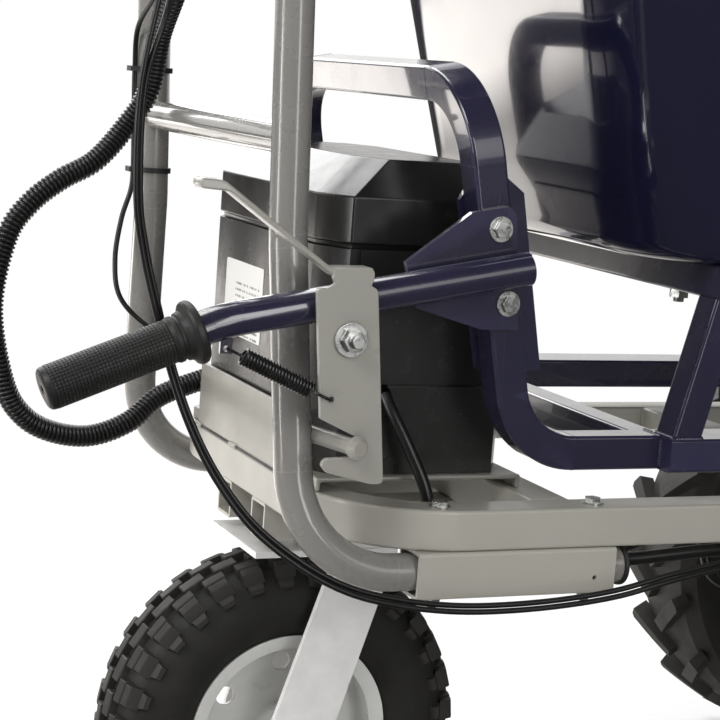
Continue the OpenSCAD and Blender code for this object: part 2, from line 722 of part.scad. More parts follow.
module cable_ties() color("#111112") placed() for (z = tie_zs)
    translate([-post_lean * z, post_half, z]) difference() {
        union() {
            cylinder(d = post_d + 5, h = 5, center = true);
            translate([-tie_reach, 0, 0]) cube([12, 14, 5], center = true);
        }
        cylinder(d = post_d + 0.5, h = 8, center = true);
        translate([-tie_reach, 0, 0]) cylinder(d = throttle_cable_d + 0.4, h = 8, center = true);
    }

// Controls

module console_housing() color("#2b2c2e") placed() difference() {
    translate([console_x - console_l, -console_w / 2, console_z]) cube([console_l, console_w, console_h]);
    translate([console_x - console_l + 3, -console_w / 2 + 3, console_z + 3])
        cube([console_l - 6, console_w - 6, console_h - 6]);
    bar_y(-post_lean * console_bar_z, -console_w / 2 - 1, console_bar_z, crossbar_d, console_w + 2);
    translate([switch_x, -switch_y, console_z + console_h - 4])
        cylinder(d = key_d + 2 * fit, h = 6);
    translate([switch_x - 9, switch_y - 13, console_z + console_h - 4]) cube([18, 26, 6]);
}

module direction_switch() color("#a3231f") placed() {
    translate([switch_x - 8.5, switch_y - 12.5, console_z + console_h - 12]) cube([17, 25, 12]);
    translate([switch_x - 11, switch_y - 15.5, console_z + console_h]) cube([22, 31, 1.5]);
    translate([switch_x - 8.5, switch_y - 12.5, console_z + console_h]) rotate([0, 90, 0])
        linear_extrude(17) polygon([[0, 0], [-6, 0], [-2.5, 12.5], [-2.5, 25], [0, 25]]);
}

module key_switch() color("#b9bcc0") placed() translate([switch_x, -switch_y, console_z + console_h - 12]) {
    cylinder(d = key_d, h = 17);
    translate([-1.5, -9, 16]) cube([3, 18, 20]);
}

module brake_perches() color("#2a2a2c") placed() both_sides() difference() {
    union() {
        along(perch_at - handle_dir * perch_l, perch_at, [0, 0, 1]) cylinder(d = post_d + 10, h = perch_l);
        side_plate(-post_half - perch_t / 2, perch_t)
            polygon([[perch_at.x, perch_at.z], [perch_at.x + perch_l, perch_at.z], lever_pivot + [14, -10],
                lever_pivot + [-4, -12], lever_pivot + [-13, 0]]);
    }
    along(handle_end, handle_turn, [0, 0, 1]) cylinder(d = post_d, h = handle_back);
    bar_y(lever_pivot.x, -post_half - 20, lever_pivot.y, brake_pivot_d + 0.2, 40);
    translate([lever_pivot.x - 30, -post_half - brake_lever_t / 2 - pass_gap, lever_pivot.y - 30])
        cube([40.5, brake_lever_t + 2 * pass_gap, 44]);
}

// One brake lever with its pivot pin, hung under a handle
module brake_lever() placed() {
    side_plate(-post_half - brake_lever_t / 2, brake_lever_t) polygon([lever_pivot + [8, 5],
        lever_pivot + [7, -9], lever_pivot + [-30, -17], lever_pivot + [-118, -6],
        lever_pivot + [-121, 0], lever_pivot + [-116, 4], lever_pivot + [-32, -5],
        lever_pivot + [-10, 8]]);
    bar_y(lever_pivot.x, -post_half - perch_t / 2 - 2, lever_pivot.y, brake_pivot_d, perch_t + 4);
}

module right_brake_lever() color("#b6b8bb") brake_lever();

module left_brake_lever() color("#b6b8bb") mirror([0, 1, 0]) brake_lever();

// The motor controller lies on the cells, with its fins up
module controller() color("#3a3c40") placed()
    translate([box_x + (box_l - controller_l) / 2, -controller_w / 2, box_floor + box_wall + cell_h]) {
        cube([controller_l, controller_w, controller_h - fin_h]);
        for (i = [0 : fin_count - 1])
            translate([4 + i * (controller_l - 12) / (fin_count - 1), 0, controller_h - fin_h - 0.5])
                cube([4, controller_w, fin_h + 0.5]);
    }

// Drive

module axle_mounts() color("#96938b") placed() both_sides() difference() {
    translate([wheel_x - 20, 2 - axle_half, wheel_z - 6]) cube([40, 18, -rail_size - wheel_z + 6]);
    bar_y(wheel_x, -axle_half, wheel_z, axle_d, 40);
}

module axle_housing() color("#3b3d40") placed() difference() {
    union() {
        bar_y(wheel_x, -axle_half, wheel_z, axle_d, 2 * axle_half);
        bar_y(wheel_x, -diff_l / 2, wheel_z, diff_d, diff_l);
    }
    both_sides() bar_y(wheel_x, -axle_half - 1, wheel_z, shaft_d + 2 * fit, axle_half - shaft_in + 1);
}

module drive_motor() color("#2f3134") placed() translate([motor_x, 0, wheel_z]) rotate([0, -90, 0]) {
    cylinder(d = motor_flange.x, h = motor_flange.y);
    cylinder(d = motor_d, h = motor_l);
    translate([0, 0, motor_l]) cylinder(d = motor_cap.x, h = motor_cap.y);
}

module brake_backplates() color("#8b8e92") placed() both_sides() difference() {
    bar_y(wheel_x, -axle_half - 6, wheel_z, 2 * hub_r + 12, 6);
    bar_y(wheel_x, -axle_half - 7, wheel_z, shaft_d + 2 * fit, 8);
}

// One front hub: brake drum, half shaft, cap and wheel nuts
module hub() placed() {
    difference() {
        union() {
            bar_y(wheel_x, -drum_out, wheel_z, 2 * hub_r, drum_out - axle_half - 6 - pass_gap);
            bar_y(wheel_x, -drum_out - 26, wheel_z, 2 * hub_cap_r, 27);
            bar_y(wheel_x, -drum_out, wheel_z, shaft_d, drum_out - shaft_in - 5);
        }
        bar_y(wheel_x, -drum_out + 8, wheel_z, 2 * hub_r - 14, drum_out - axle_half - 20);
    }
    bar_y(wheel_x, -drum_out + 7, wheel_z, 2 * hub_cap_r, drum_out - axle_half - 13 - pass_gap);
    for (a = [45 : 90 : 315])
        translate([wheel_x + stud_r * cos(a), -drum_out - 5, wheel_z + stud_r * sin(a)]) rotate([90, 0, 0]) {
            hex_nut(12);
            translate([0, 0, -6]) cylinder(d = 12, h = 20);
        }
}

module right_hub() color("#55585c") hub();

module left_hub() color("#55585c") mirror([0, 1, 0]) hub();

// A wheel rim about local Z: a barrel with flanges, a disc and its holes
module rim(r, w, disc_z, centre_r, studs) {
    rotate_extrude() polygon([[r - 5, -w / 2], [r + 9, -w / 2 - 4], [r + 9, -w / 2], [r, -w / 2 + 4],
        [r, w / 2 - 4], [r + 9, w / 2], [r + 9, w / 2 + 4], [r - 5, w / 2]]);
    difference() {
        translate([0, 0, disc_z]) cylinder(r = r - 4, h = 5);
        translate([0, 0, disc_z - 1]) cylinder(r = centre_r, h = 7);
        if (studs > 0)
            for (i = [0 : studs - 1])
                rotate(45 + i * 360 / studs) translate([stud_r, 0, disc_z - 1]) cylinder(d = 12.4, h = 7);
        for (i = [0 : 5])
            rotate(i * 60 + 30) translate([(r + centre_r) / 2 + 8, 0, disc_z - 1]) cylinder(d = r / 5, h = 7);
    }
}

// A tyre about local Z: an open casing whose beads sit between the flanges of a rim of width rim_w
module tyre_case(r, w, rim_r, rim_w) {
    t = 10;
    bead_r = rim_r + 0.3;
    bead_w = rim_w / 2 - 4.5;
    mid = (r + bead_r) / 2;
    rotate_extrude() polygon([[bead_r, -bead_w], [bead_r + 10, -bead_w - 3.5], [bead_r + 15, -w / 2 + 3],
        [mid, -w / 2], [r - 20, -w / 2 + 3], [r - 5, -w / 2 + 16], [r, -w / 6], [r, w / 6],
        [r - 5, w / 2 - 16], [r - 20, w / 2 - 3], [mid, w / 2], [bead_r + 15, w / 2 - 3],
        [bead_r + 10, bead_w + 3.5], [bead_r, bead_w], [bead_r, bead_w - t], [mid, w / 2 - t],
        [r - 20, w / 2 - t - 6], [r - t - 2, w / 6], [r - t - 2, -w / 6], [r - 20, t + 6 - w / 2],
        [mid, t - w / 2], [bead_r, t - bead_w]]);
}

// Slanted bars in two rows, trimmed to the tyre's outer radius
module bar_lugs(r, w) intersection() {
    for (side = [-1, 1])
        for (i = [0 : lug_count - 1])
            rotate((i + (side > 0 ? 0.5 : 0)) * 360 / lug_count)
                translate([r - lug_h / 2 - 3, 0, side * w * 0.24]) rotate([side * 40, 0, 0])
                    cube([lug_h + 10, 17, w * 0.6], center = true);
    cylinder(r = r, h = w - 2, center = true);
}

// Square blocks in three rows, trimmed to the tyre's outer radius
module block_lugs(r, w) intersection() {
    for (row = [-1, 0, 1])
        for (i = [0 : block_count - 1])
            rotate((i + (row == 0 ? 0.5 : 0)) * 360 / block_count)
                translate([r - block_h / 2 - 3, 0, row * w * 0.33])
                    cube([block_h + 10, r * 3.7 / block_count, w * 0.25], center = true);
    cylinder(r = r, h = w - 2, center = true);
}

module front_tyre() placed() translate([wheel_x, -wheel_y, wheel_z]) rotate([90, 0, 0]) {
    tyre_case(wheel_d / 2 - lug_h, wheel_w, rim_r, wheel_w * rim_share);
    bar_lugs(wheel_d / 2, wheel_w);
}

module front_rim() placed() translate([wheel_x, -wheel_y, wheel_z]) rotate([90, 0, 0])
    rim(rim_r, wheel_w * rim_share, drum_out - wheel_y, hub_cap_r, 4);

module right_tyre() color("#1a1a1a") front_tyre();

module left_tyre() color("#1a1a1a") mirror([0, 1, 0]) front_tyre();

module right_rim() color("#d8d8d4") front_rim();

module left_rim() color("#d8d8d4") mirror([0, 1, 0]) front_rim();

// Hinge and stops

module hinge_brackets() color("#96938b") placed() both_sides() difference() {
    for (y = [-main_out - pass_gap - hinge_lug_t, main_w - main_out + pass_gap])
        side_plate(y, hinge_lug_t) polygon([[hinge_x - hinge_half, 0], [hinge_x + hinge_half, 0],
            [hinge_x + hinge_half, hinge_z + 8], [hinge_x + hinge_half / 2, hinge_z + hinge_half],
            [hinge_x - hinge_half / 2, hinge_z + hinge_half], [hinge_x - hinge_half, hinge_z + 8]]);
    bar_y(hinge_x, -hinge_pin_out - 10, hinge_z, hinge_d + 0.2, 2 * main_w);
}

module hinge_pins() color("#c9ccd0") placed() both_sides() {
    bar_y(hinge_x, -hinge_pin_out, hinge_z, hinge_d, hinge_pin_l);
    bar_y(hinge_x, -hinge_pin_out - hinge_head_t, hinge_z, hinge_d + 8, hinge_head_t);
}

module rest_pads() color("#1c1c1d") placed() both_sides()
    translate([pad_x, 2 - main_out, 0]) cube([30, 20, tub_rail_z - 0.3]);

// Tub and its frame

module tub_hoop() color("#2a2a42") placed() difference() {
    bent_bar(hoop_route, hoop_r, hoop_sides) box_section(hoop_size, hoop_size, tube_corner);
    bent_bar(stretched(hoop_route, 1), hoop_r, hoop_sides)
        box_section(hoop_size - 2 * hoop_wall, hoop_size - 2 * hoop_wall, inner_corner);
    for (z = lever_bolt_zs)
        bar_y(leg_x - lean * z, -hoop_w / 2 - 1, z, lever_bolt_d + 0.4, hoop_size + 2);
}

// The outside of a box tube, or with inner its hollow, along Z
module tube_form(l, w, h, t, inner) linear_extrude(l)
    box_section(w - (inner ? 2 * t : 0), h - (inner ? 2 * t : 0), inner ? inner_corner : tube_corner);

// All tubes of the tub's frame: each reaches a little into the wall that it meets, and its hollow opens there
module tub_frame_form(inner) {
    reach = inner ? main_wall + 1 : weld_sink;
    rail_start = main_x + (inner ? main_wall : 0);
    rail_end = hinge_x + hinge_half + (inner ? 1 : 0);
    bar_half = main_out + bar_over + (inner ? 1 : 0);
    tie_half = main_out - main_w + reach;
    post_l = tub_bar_z - strut_foot + 2 * reach;
    both_sides() {
        translate([rail_start, -main_y, rail_mid_z]) rotate([90, 0, 90])
            tube_form(rail_end - rail_start, main_w, hoop_size, main_wall, inner);
        intersection() {
            along([strut_x - strut_run, strut_y, 2 * strut_foot - tub_bar_z],
                [strut_x + strut_run, strut_y, tub_bar_z], [0, 1, 0])
                tube_form(3 * (tub_bar_z - strut_foot), hoop_size, hoop_size * cos(strut_lean), hoop_wall,
                    inner);
            translate([main_x - hoop_size, -main_out - 1, strut_foot - reach])
                cube([3 * hoop_size + strut_run, hoop_size + 2, post_l]);
        }
        translate([front_bar_x + hoop_size / 2, strut_y, strut_foot - reach])
            tube_form(post_l, hoop_size, hoop_size, hoop_wall, inner);
    }
    for (x = [tub_bar_x, front_bar_x])
        translate([x + hoop_size / 2, -bar_half, tub_bar_z + hoop_size / 2]) rotate([-90, 0, 0])
            tube_form(2 * bar_half, hoop_size, hoop_size, hoop_wall, inner);
    for (x = tie_xs)
        translate([x + hoop_size / 2, -tie_half, rail_mid_z]) rotate([-90, 0, 0])
            tube_form(2 * tie_half, tie_size, tie_size, hoop_wall, inner);
}

module tub_main_frame() color("#2a2a42") placed() difference() {
    union() {
        difference() {
            tub_frame_form(false);
            tub_frame_form(true);
        }
        both_sides() bar_y(hinge_x, -main_out, hinge_z, hinge_d + 10, main_w);
    }
    both_sides() {
        bar_y(hinge_x, -main_out - 1, hinge_z, hinge_d + 2 * fit, main_w + 2);
        for (x = [tub_bar_x, front_bar_x])
            translate([x + hoop_size / 2, -tub_bolt_y, tub_bar_z - 1])
                cylinder(d = tub_bolt_d + 0.4, h = hoop_size + 2);
    }
}

module tub_outline(x, l, w, r) for (i = [0, 1])
    for (j = [-1, 1])
        translate([x + r + i * (l - 2 * r), j * (w / 2 - r)]) circle(r = r, $fn = 64);

// The tub's outer body, with a rounded fold round its floor, drawn in by e on every wall
module tub_body(e) hull() {
    for (a = [0, 45, 90]) {
        d = e + tub_fold * (1 - sin(a));
        translate([0, 0, tub_z + tub_fold * (1 - cos(a))]) linear_extrude(0.01)
            tub_outline(tub_x + d, tub_floor_l - 2 * d, tub_floor_w - 2 * d, tub_floor_r - d);
    }
    translate([0, 0, tub_z + tub_h - 0.01]) linear_extrude(0.01)
        tub_outline(tub_rim_x + e, tub_rim_l - 2 * e, tub_rim_w - 2 * e, tub_rim_r - e);
}

module tub_shell() color("#25263f") placed() difference() {
    tub_body(0);
    translate([0, 0, tub_t]) tub_body(tub_t);
}

module tub_rim() color("#25263f") placed() translate([0, 0, tub_z + tub_h]) {
    run_l = tub_rim_l - 2 * tub_rim_r;
    run_w = tub_rim_w - 2 * tub_rim_r;
    corner_x = tub_rim_x + tub_rim_r;
    for (i = [0, 1])
        for (j = [-1, 1])
            translate([corner_x + i * run_l, j * run_w / 2, 0])
                rotate(i == 0 ? (j < 0 ? 180 : 90) : (j < 0 ? 270 : 0))
                    rotate_extrude(angle = 90) translate([tub_rim_r + rim_d / 2, 0]) circle(d = rim_d);
    for (j = [-1, 1])
        translate([corner_x, j * (tub_rim_w + rim_d) / 2, 0]) rotate([0, 90, 0])
            cylinder(d = rim_d, h = run_l);
    for (x = [tub_rim_x - rim_d / 2, tub_rim_x + tub_rim_l + rim_d / 2])
        bar_y(x, -run_w / 2, 0, rim_d, run_w);
}

// Studs welded under the tub's floor, with their nuts below the bars
module tub_bolts() color("#c9ccd0") placed() both_sides()
    for (x = [tub_bar_x, front_bar_x])
        translate([x + hoop_size / 2, -tub_bolt_y, tub_bar_z]) {
            translate([0, 0, -1.2 * tub_bolt_d]) cylinder(d = tub_bolt_d, h = hoop_size + 1.2 * tub_bolt_d);
            translate([0, 0, -0.8 * tub_bolt_d]) hex_nut(tub_bolt_d);
        }

// Tipping lever

module tipping_lever() color("#25263f") placed() difference() {
    union() {
        bent_bar(lever_route, lever_bend_r) circle(d = lever_d);
        side_plate(-hoop_w / 2 - gusset_t, gusset_t) polygon(gusset_outline);
        side_plate(lever_y - 3, 6) polygon([latch_pivot + [-15, 22], latch_pivot + [-13, -4],
            latch_pivot + [-6, -13], latch_pivot + [6, -13], latch_pivot + [13, -4], latch_pivot + [15, 22]]);
        bar_y(latch_pivot.x, latch_in + pass_gap, latch_pivot.y, latch_boss_d, lever_y - latch_in);
        translate([spring_hook.x - 5, lever_y - 1.5, spring_hook.z - 4]) cube([10, 3, 14]);
    }
    bent_bar([lever_tip + lever_fore * 3, lever_bend, lever_end + lever_dir], lever_bend_r)
        circle(d = lever_d - 2 * lever_wall);
    bar_y(latch_pivot.x, latch_in, latch_pivot.y, pivot_d + 0.2, 40);
    bar_y(spring_hook.x, lever_y - 10, spring_hook.z, 5, 20);
    for (z = lever_bolt_zs)
        bar_y(leg_x - lean * z, lever_y, z, lever_bolt_d + 0.4, 30);
}

module lever_grip() color("#1a1a1b") placed() difference() {
    along(lever_end + lever_dir * grip_cap_t, lever_bend, [0, 0, 1]) {
        cylinder(d = lever_grip_d, h = lever_grip_l);
        translate([0, 0, lever_grip_l - 9]) cylinder(d = lever_grip_d + 17, h = 9);
    }
    along(lever_end, lever_bend, [0, 0, 1]) cylinder(d = lever_d, h = lever_grip_l + 20);
    along(lever_end + lever_dir * 10, lever_bend, [0, 0, 1]) cylinder(d = 6, h = 20);
}

// A point on the leg's own axes: s ahead of its middle line, t up it
function leg_point(s, t) = [leg_x - lean * leg_mid_z + s * cos(leg_lean) - t * sin(leg_lean),
    leg_mid_z + s * sin(leg_lean) + t * cos(leg_lean)];

module lever_clamp_plate() color("#1f2036") placed() difference() {
    side_plate(hoop_size - hoop_w / 2, gusset_t) polygon([leg_point(43, -102), leg_point(43, 52),
        leg_point(28, 68), leg_point(-6, 68), leg_point(-18, 56), leg_point(-18, -90),
        leg_point(-6, -102)]);
    for (z = lever_bolt_zs)
        bar_y(leg_x - lean * z, -hoop_w / 2, z, lever_bolt_d + 0.4, 60);
}

module lever_bolts() color("#c9ccd0") placed() for (z = lever_bolt_zs) {
    translate([leg_x - lean * z, -hoop_w / 2 - gusset_t, z]) rotate([90, 0, 0])
        hex_bolt(lever_bolt_d, hoop_size + 2 * gusset_t + 10, 2.7 * lever_bolt_d);
    translate([leg_x - lean * z, hoop_size - hoop_w / 2 + gusset_t, z]) rotate([-90, 0, 0])
        hex_nut(lever_bolt_d);
}

// Latch

module latch_bolt() color("#c9ccd0") placed() translate([latch_pivot.x, 0, latch_pivot.y]) {
    translate([0, lever_y + 3, 0]) rotate([-90, 0, 0])
        hex_bolt(pivot_d, lever_y + 3 - latch_out + pivot_d + 8, 0);
    translate([0, latch_out - pass_gap, 0]) rotate([90, 0, 0]) {
        cylinder(d = 2.8 * pivot_d, h = 2.5);
        translate([0, 0, 2.5]) hex_nut(pivot_d);
    }
}

module latch_plate() color("#a5a29a") placed() translate([latch_pivot.x, 0, latch_pivot.y]) difference() {
    union() {
        side_plate(latch_out, latch_t) polygon(latch_outline);
        side_plate(latch_out, latch_arm_w) polygon(latch_arm);
    }
    bar_y(0, latch_out - 1, 0, pivot_d + 2 * fit, latch_t + 2);
    bar_y(latch_slot.x, latch_out - 1, latch_slot.y, 2 * slot_r, latch_t + 2);
    bar_y(latch_hole.x, latch_out - 1, latch_hole.y, 5, latch_t + 2);
}

echo(str("least gap between the spring's curls: ", spring_gap, " mm"));

module latch_spring() color("#141415") placed() cable(spring_path, wire_d, 6);

// Rear wheel

module caster_mount() color("#c3c6c9") placed() difference() {
    union() {
        translate([swivel_x - mount_l / 2, -mount_w / 2, bearer_z - mount_t])
            cube([mount_l, mount_w, mount_t]);
        translate([swivel_x, 0, fork_top + pass_gap])
            cylinder(r = race_r, h = bearer_z - mount_t - fork_top - pass_gap);
        translate([swivel_x, 0, fork_top - fork_t - pass_gap]) cylinder(d = kingpin_d, h = fork_t + 2);
        translate([swivel_x, 0, fork_top - fork_t - pass_gap - 3]) cylinder(d = kingpin_d + 14, h = 3);
    }
    for (x = caster_bolt_xs)
        both_sides()
            translate([x, -bearer_y, bearer_z - mount_t - 1])
                cylinder(d = caster_stud_d + 0.4, h = mount_t + 2);
}

module caster_bolts() color("#c9ccd0") placed() both_sides() for (x = caster_bolt_xs)
    translate([x, -bearer_y, bearer_z - mount_t]) {
        cylinder(d = caster_stud_d, h = mount_t + rail_wall + caster_stud_d + 2);
        translate([0, 0, mount_t + rail_wall]) hex_nut(caster_stud_d);
    }

module caster_fork() color("#c3c6c9") placed() difference() {
    union() {
        translate([fork_rear, -fork_in - fork_t, fork_top - fork_t])
            cube([fork_front - fork_rear, 2 * (fork_in + fork_t), fork_t]);
        both_sides() {
            side_plate(-fork_in - fork_t, fork_t) polygon([[fork_leg_x, fork_top - 2],
                [fork_front, fork_top - 2], [caster_x + fork_end_r, caster_z + 7],
                [caster_x - fork_end_r, caster_z + 7]]);
            bar_y(caster_x, -fork_in - fork_t, caster_z, 2 * fork_end_r, fork_t);
        }
    }
    translate([swivel_x, 0, fork_top - fork_t - 1]) cylinder(d = kingpin_d + 2 * fit, h = fork_t + 2);
    bar_y(caster_x, -fork_in - fork_t - 1, caster_z, caster_bolt_d + 0.2, 2 * (fork_in + fork_t) + 2);
}

module caster_axle() color("#c9ccd0") placed() translate([caster_x, -fork_in - fork_t, caster_z])
    rotate([90, 0, 0]) {
        hex_bolt(caster_bolt_d, 2 * (fork_in + fork_t) + caster_bolt_d + 4, 0);
        translate([0, 0, -2 * (fork_in + fork_t) - 0.8 * caster_bolt_d]) hex_nut(caster_bolt_d);
    }

module caster_rim() color("#d8d8d4") placed() translate([caster_x, 0, caster_z]) rotate([90, 0, 0])
    difference() {
        union() {
            rim(caster_rim_r, caster_w * rim_share, -2.5, 20, 0);
            cylinder(r = 22, h = 2 * (fork_in - pass_gap), center = true);
        }
        cylinder(d = caster_bolt_d + 2 * fit, h = 4 * fork_in, center = true);
    }

module caster_tyre() color("#1d1d1d") placed() translate([caster_x, 0, caster_z]) rotate([90, 0, 0]) {
    tyre_case(caster_d / 2 - block_h, caster_w, caster_rim_r, caster_w * rim_share);
    block_lugs(caster_d / 2, caster_w);
}

chassis_frame();
crossmembers();
battery_tray();
battery_retainer();
handlebar_sockets();
socket_bolts();
socket_caps();
handlebar_frame();
handlebar_grips();
latch_pin();
battery_case();
battery_lid();
battery_label();
battery_cells();
battery_lead();
cable_conduit();
brake_cables();
drive_cable();
throttle_cable();
cable_ties();
console_housing();
direction_switch();
key_switch();
brake_perches();
left_brake_lever();
right_brake_lever();
controller();
axle_mounts();
axle_housing();
drive_motor();
brake_backplates();
hinge_brackets();
hinge_pins();
rest_pads();
caster_mount();
caster_bolts();
tub_hoop();
tub_main_frame();
tub_shell();
tub_rim();
tub_bolts();
tipping_lever();
lever_grip();
lever_clamp_plate();
lever_bolts();
latch_bolt();
latch_plate();
latch_spring();
caster_fork();
caster_axle();
caster_rim();
caster_tyre();
left_hub();
left_rim();
left_tyre();
right_hub();
right_rim();
right_tyre();
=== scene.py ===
"""Looks of the concrete buggy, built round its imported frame."""
import json
import math

import bmesh
import bpy
from mathutils import Matrix, Vector


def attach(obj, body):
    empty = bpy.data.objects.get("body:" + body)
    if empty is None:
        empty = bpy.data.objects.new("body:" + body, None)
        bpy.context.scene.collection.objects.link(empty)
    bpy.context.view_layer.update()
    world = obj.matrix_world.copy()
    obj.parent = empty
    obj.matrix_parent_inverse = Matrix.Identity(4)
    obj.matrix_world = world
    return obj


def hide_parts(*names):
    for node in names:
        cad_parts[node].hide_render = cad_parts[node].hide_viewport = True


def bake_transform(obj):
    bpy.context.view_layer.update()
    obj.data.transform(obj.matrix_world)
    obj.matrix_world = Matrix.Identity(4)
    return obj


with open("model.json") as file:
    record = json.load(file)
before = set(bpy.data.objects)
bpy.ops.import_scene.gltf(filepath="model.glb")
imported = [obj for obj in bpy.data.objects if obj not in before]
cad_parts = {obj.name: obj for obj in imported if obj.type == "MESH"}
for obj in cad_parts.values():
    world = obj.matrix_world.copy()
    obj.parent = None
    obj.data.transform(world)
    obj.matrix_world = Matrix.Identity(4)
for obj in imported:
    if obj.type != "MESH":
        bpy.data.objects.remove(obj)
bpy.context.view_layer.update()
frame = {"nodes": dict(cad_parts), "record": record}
NODES = frame["nodes"]
NODE_BODY = {n: b for b, ns in frame["record"]["behaviour"]["bodies"].items() for n in ns}
NODE_SLOT = {s["node"]: s["material_slot"] for s in frame["record"]["subparts"]}
MM = 0.001
OBJECT_MID = 431.75
RAIL_TOP = 440.0
scene = bpy.context.scene
scene.view_settings.view_transform = "Standard"


def at(x, y, z):
    """A point given in mm from the handlebar posts and the chassis top, in the frame's metres."""
    return Vector(((x - OBJECT_MID) * MM, y * MM, (z + RAIL_TOP) * MM))


# Camera, where the picture was taken from

CAMERA_PLACE = (-582.2, -1644.8, 359.7)
CAMERA_TURNS = (23.871, 8.642, 4.278)
FOCAL_PIXELS = 1938.3
IMAGE_PIXELS = 720
SENSOR_MM = 36


def place_camera():
    """Aims the camera by its yaw, pitch and roll in degrees."""
    yaw, pitch, roll = (math.radians(a) for a in CAMERA_TURNS)
    ahead = Vector((math.sin(yaw) * math.cos(pitch), math.cos(yaw) * math.cos(pitch), -math.sin(pitch)))
    right = Vector((math.cos(yaw), -math.sin(yaw), 0))
    down = ahead.cross(right)
    image_x = math.cos(roll) * right - math.sin(roll) * down
    image_y = math.sin(roll) * right + math.cos(roll) * down
    turn = Matrix((image_x, -image_y, -ahead)).transposed().to_4x4()
    data = bpy.data.cameras.new("camera")
    data.sensor_fit = "HORIZONTAL"
    data.sensor_width = SENSOR_MM
    data.lens = SENSOR_MM * FOCAL_PIXELS / IMAGE_PIXELS
    data.clip_start = 0.05
    data.clip_end = 200
    cam = bpy.data.objects.new("camera", data)
    scene.collection.objects.link(cam)
    turn.translation = at(*CAMERA_PLACE)
    cam.matrix_world = turn
    scene.camera = cam


place_camera()


# Materials

class NodeTree:
    """A tree of shader nodes, with short ways to add and join them."""

    def __init__(self, tree):
        self.tree = tree

    def add(self, kind, **inputs):
        """Adds a node and feeds its inputs, named with underscores for spaces."""
        node = self.tree.nodes.new(kind)
        for key, value in inputs.items():
            self.feed(node.inputs[key.replace("_", " ")], value)
        return node

    def feed(self, socket, value):
        """Joins an input to another node's output, or gives it a plain value."""
        if isinstance(value, bpy.types.NodeSocket):
            self.tree.links.new(value, socket)
        else:
            socket.default_value = value

    def maths(self, kind, a, b):
        node = self.add("ShaderNodeMath")
        node.operation = kind
        self.feed(node.inputs[0], a)
        self.feed(node.inputs[1], b)
        return node.outputs[0]

    def mix_shaders(self, factor, first, second):
        node = self.add("ShaderNodeMixShader", Fac=factor)
        self.feed(node.inputs[1], first.outputs[0])
        self.feed(node.inputs[2], second.outputs[0])
        return node

    def show(self, output, shader):
        """Makes the shader the one that the output node shows."""
        self.feed(self.tree.nodes[output].inputs["Surface"], shader.outputs[0])


class Shader(NodeTree):
    """A material with its nodes, laid out in the piece's own metres."""

    def __init__(self, name):
        self.mat = bpy.data.materials.new(name)
        self.mat.use_nodes = True
        super().__init__(self.mat.node_tree)
        self.bsdf = self.tree.nodes["Principled BSDF"]
        self.place = self.add("ShaderNodeTexCoord").outputs["Object"]

    def noise(self, scale, detail=3.0, stretch=None):
        place = self.place
        if stretch:
            mapping = self.add("ShaderNodeMapping", Vector=self.place)
            mapping.inputs["Scale"].default_value = stretch
            place = mapping.outputs["Vector"]
        return self.add("ShaderNodeTexNoise", Vector=place, Scale=scale, Detail=detail).outputs["Fac"]

    def spread(self, value, low, high, start=0.3, end=0.7):
        """Maps values from start to end onto low to high."""
        node = self.add("ShaderNodeMapRange", Value=value)
        node.inputs["From Min"].default_value = start
        node.inputs["From Max"].default_value = end
        node.inputs["To Min"].default_value = low
        node.inputs["To Max"].default_value = high
        return node.outputs["Result"]

    def mix(self, factor, a, b):
        node = self.add("ShaderNodeMix")
        node.data_type = "RGBA"
        for key, value in (("Factor", factor), ("A", a), ("B", b)):
            socket = [s for s in node.inputs if s.name == key and s.enabled][0]
            self.feed(socket, value)
        return [s for s in node.outputs if s.enabled][0]

    def bump(self, height, depth):
        node = self.add("ShaderNodeBump", Height=height, Distance=depth, Strength=1.0)
        self.feed(self.bsdf.inputs["Normal"], node.outputs["Normal"])

    def edges(self, low=0.53, high=0.6):
        """A share that is 1 on outer edges and 0 on flat faces."""
        pointed = self.add("ShaderNodeNewGeometry").outputs["Pointiness"]
        return self.spread(pointed, 0.0, 1.0, low, high)

    def set(self, **values):
        for key, value in values.items():
            self.feed(self.bsdf.inputs[key.replace("_", " ")], value)


def rgb(*values):
    """A colour from its linear shares of red, green and blue."""
    return (*values, 1.0)


def shade(colour, share):
    """The colour made darker or lighter by a share."""
    return (*(min(1.0, c * share) for c in colour[:3]), 1.0)


def paint(name, colour, rough, coat, peel=0.00004, vary=0.08, edge=1.25):
    """Sprayed paint: cloudy colour, orange peel and slightly paler edges."""
    s = Shader(name)
    clouds = s.noise(7.0, 4.0)
    base = s.mix(clouds, shade(colour, 1 - vary), shade(colour, 1 + vary))
    s.set(Base_Color=s.mix(s.edges(), base, shade(colour, edge)), Coat_Weight=coat, Coat_Roughness=0.04)
    s.set(Roughness=s.spread(s.noise(30.0), rough * 0.85, rough * 1.2))
    s.bump(s.noise(320.0, 2.0), peel)
    return s.mat


def plastic(name, colour, rough, depth=0.00006):
    """Moulded plastic with a fine spark-eroded grain and dust in broad patches."""
    s = Shader(name)
    dust = s.noise(9.0, 5.0)
    base = s.mix(dust, shade(colour, 0.85), shade(colour, 1.25))
    s.set(Base_Color=s.mix(s.edges(), base, shade(colour, 1.9)))
    s.set(Roughness=s.spread(s.noise(60.0), rough * 0.85, min(1.0, rough * 1.15)))
    s.bump(s.noise(900.0, 2.0), depth)
    return s.mat


def steel(name, colour, rough, metal=1.0):
    """Zinc-plated steel: cloudy plating and faint drawn lines."""
    s = Shader(name)
    clouds = s.noise(45.0, 4.0)
    s.set(Base_Color=s.mix(clouds, shade(colour, 0.82), shade(colour, 1.1)), Metallic=metal)
    s.set(Roughness=s.spread(s.noise(160.0), rough * 0.7, rough * 1.4))
    s.bump(s.noise(500.0, 2.0, (1.0, 1.0, 0.15)), 0.000003)
    return s.mat


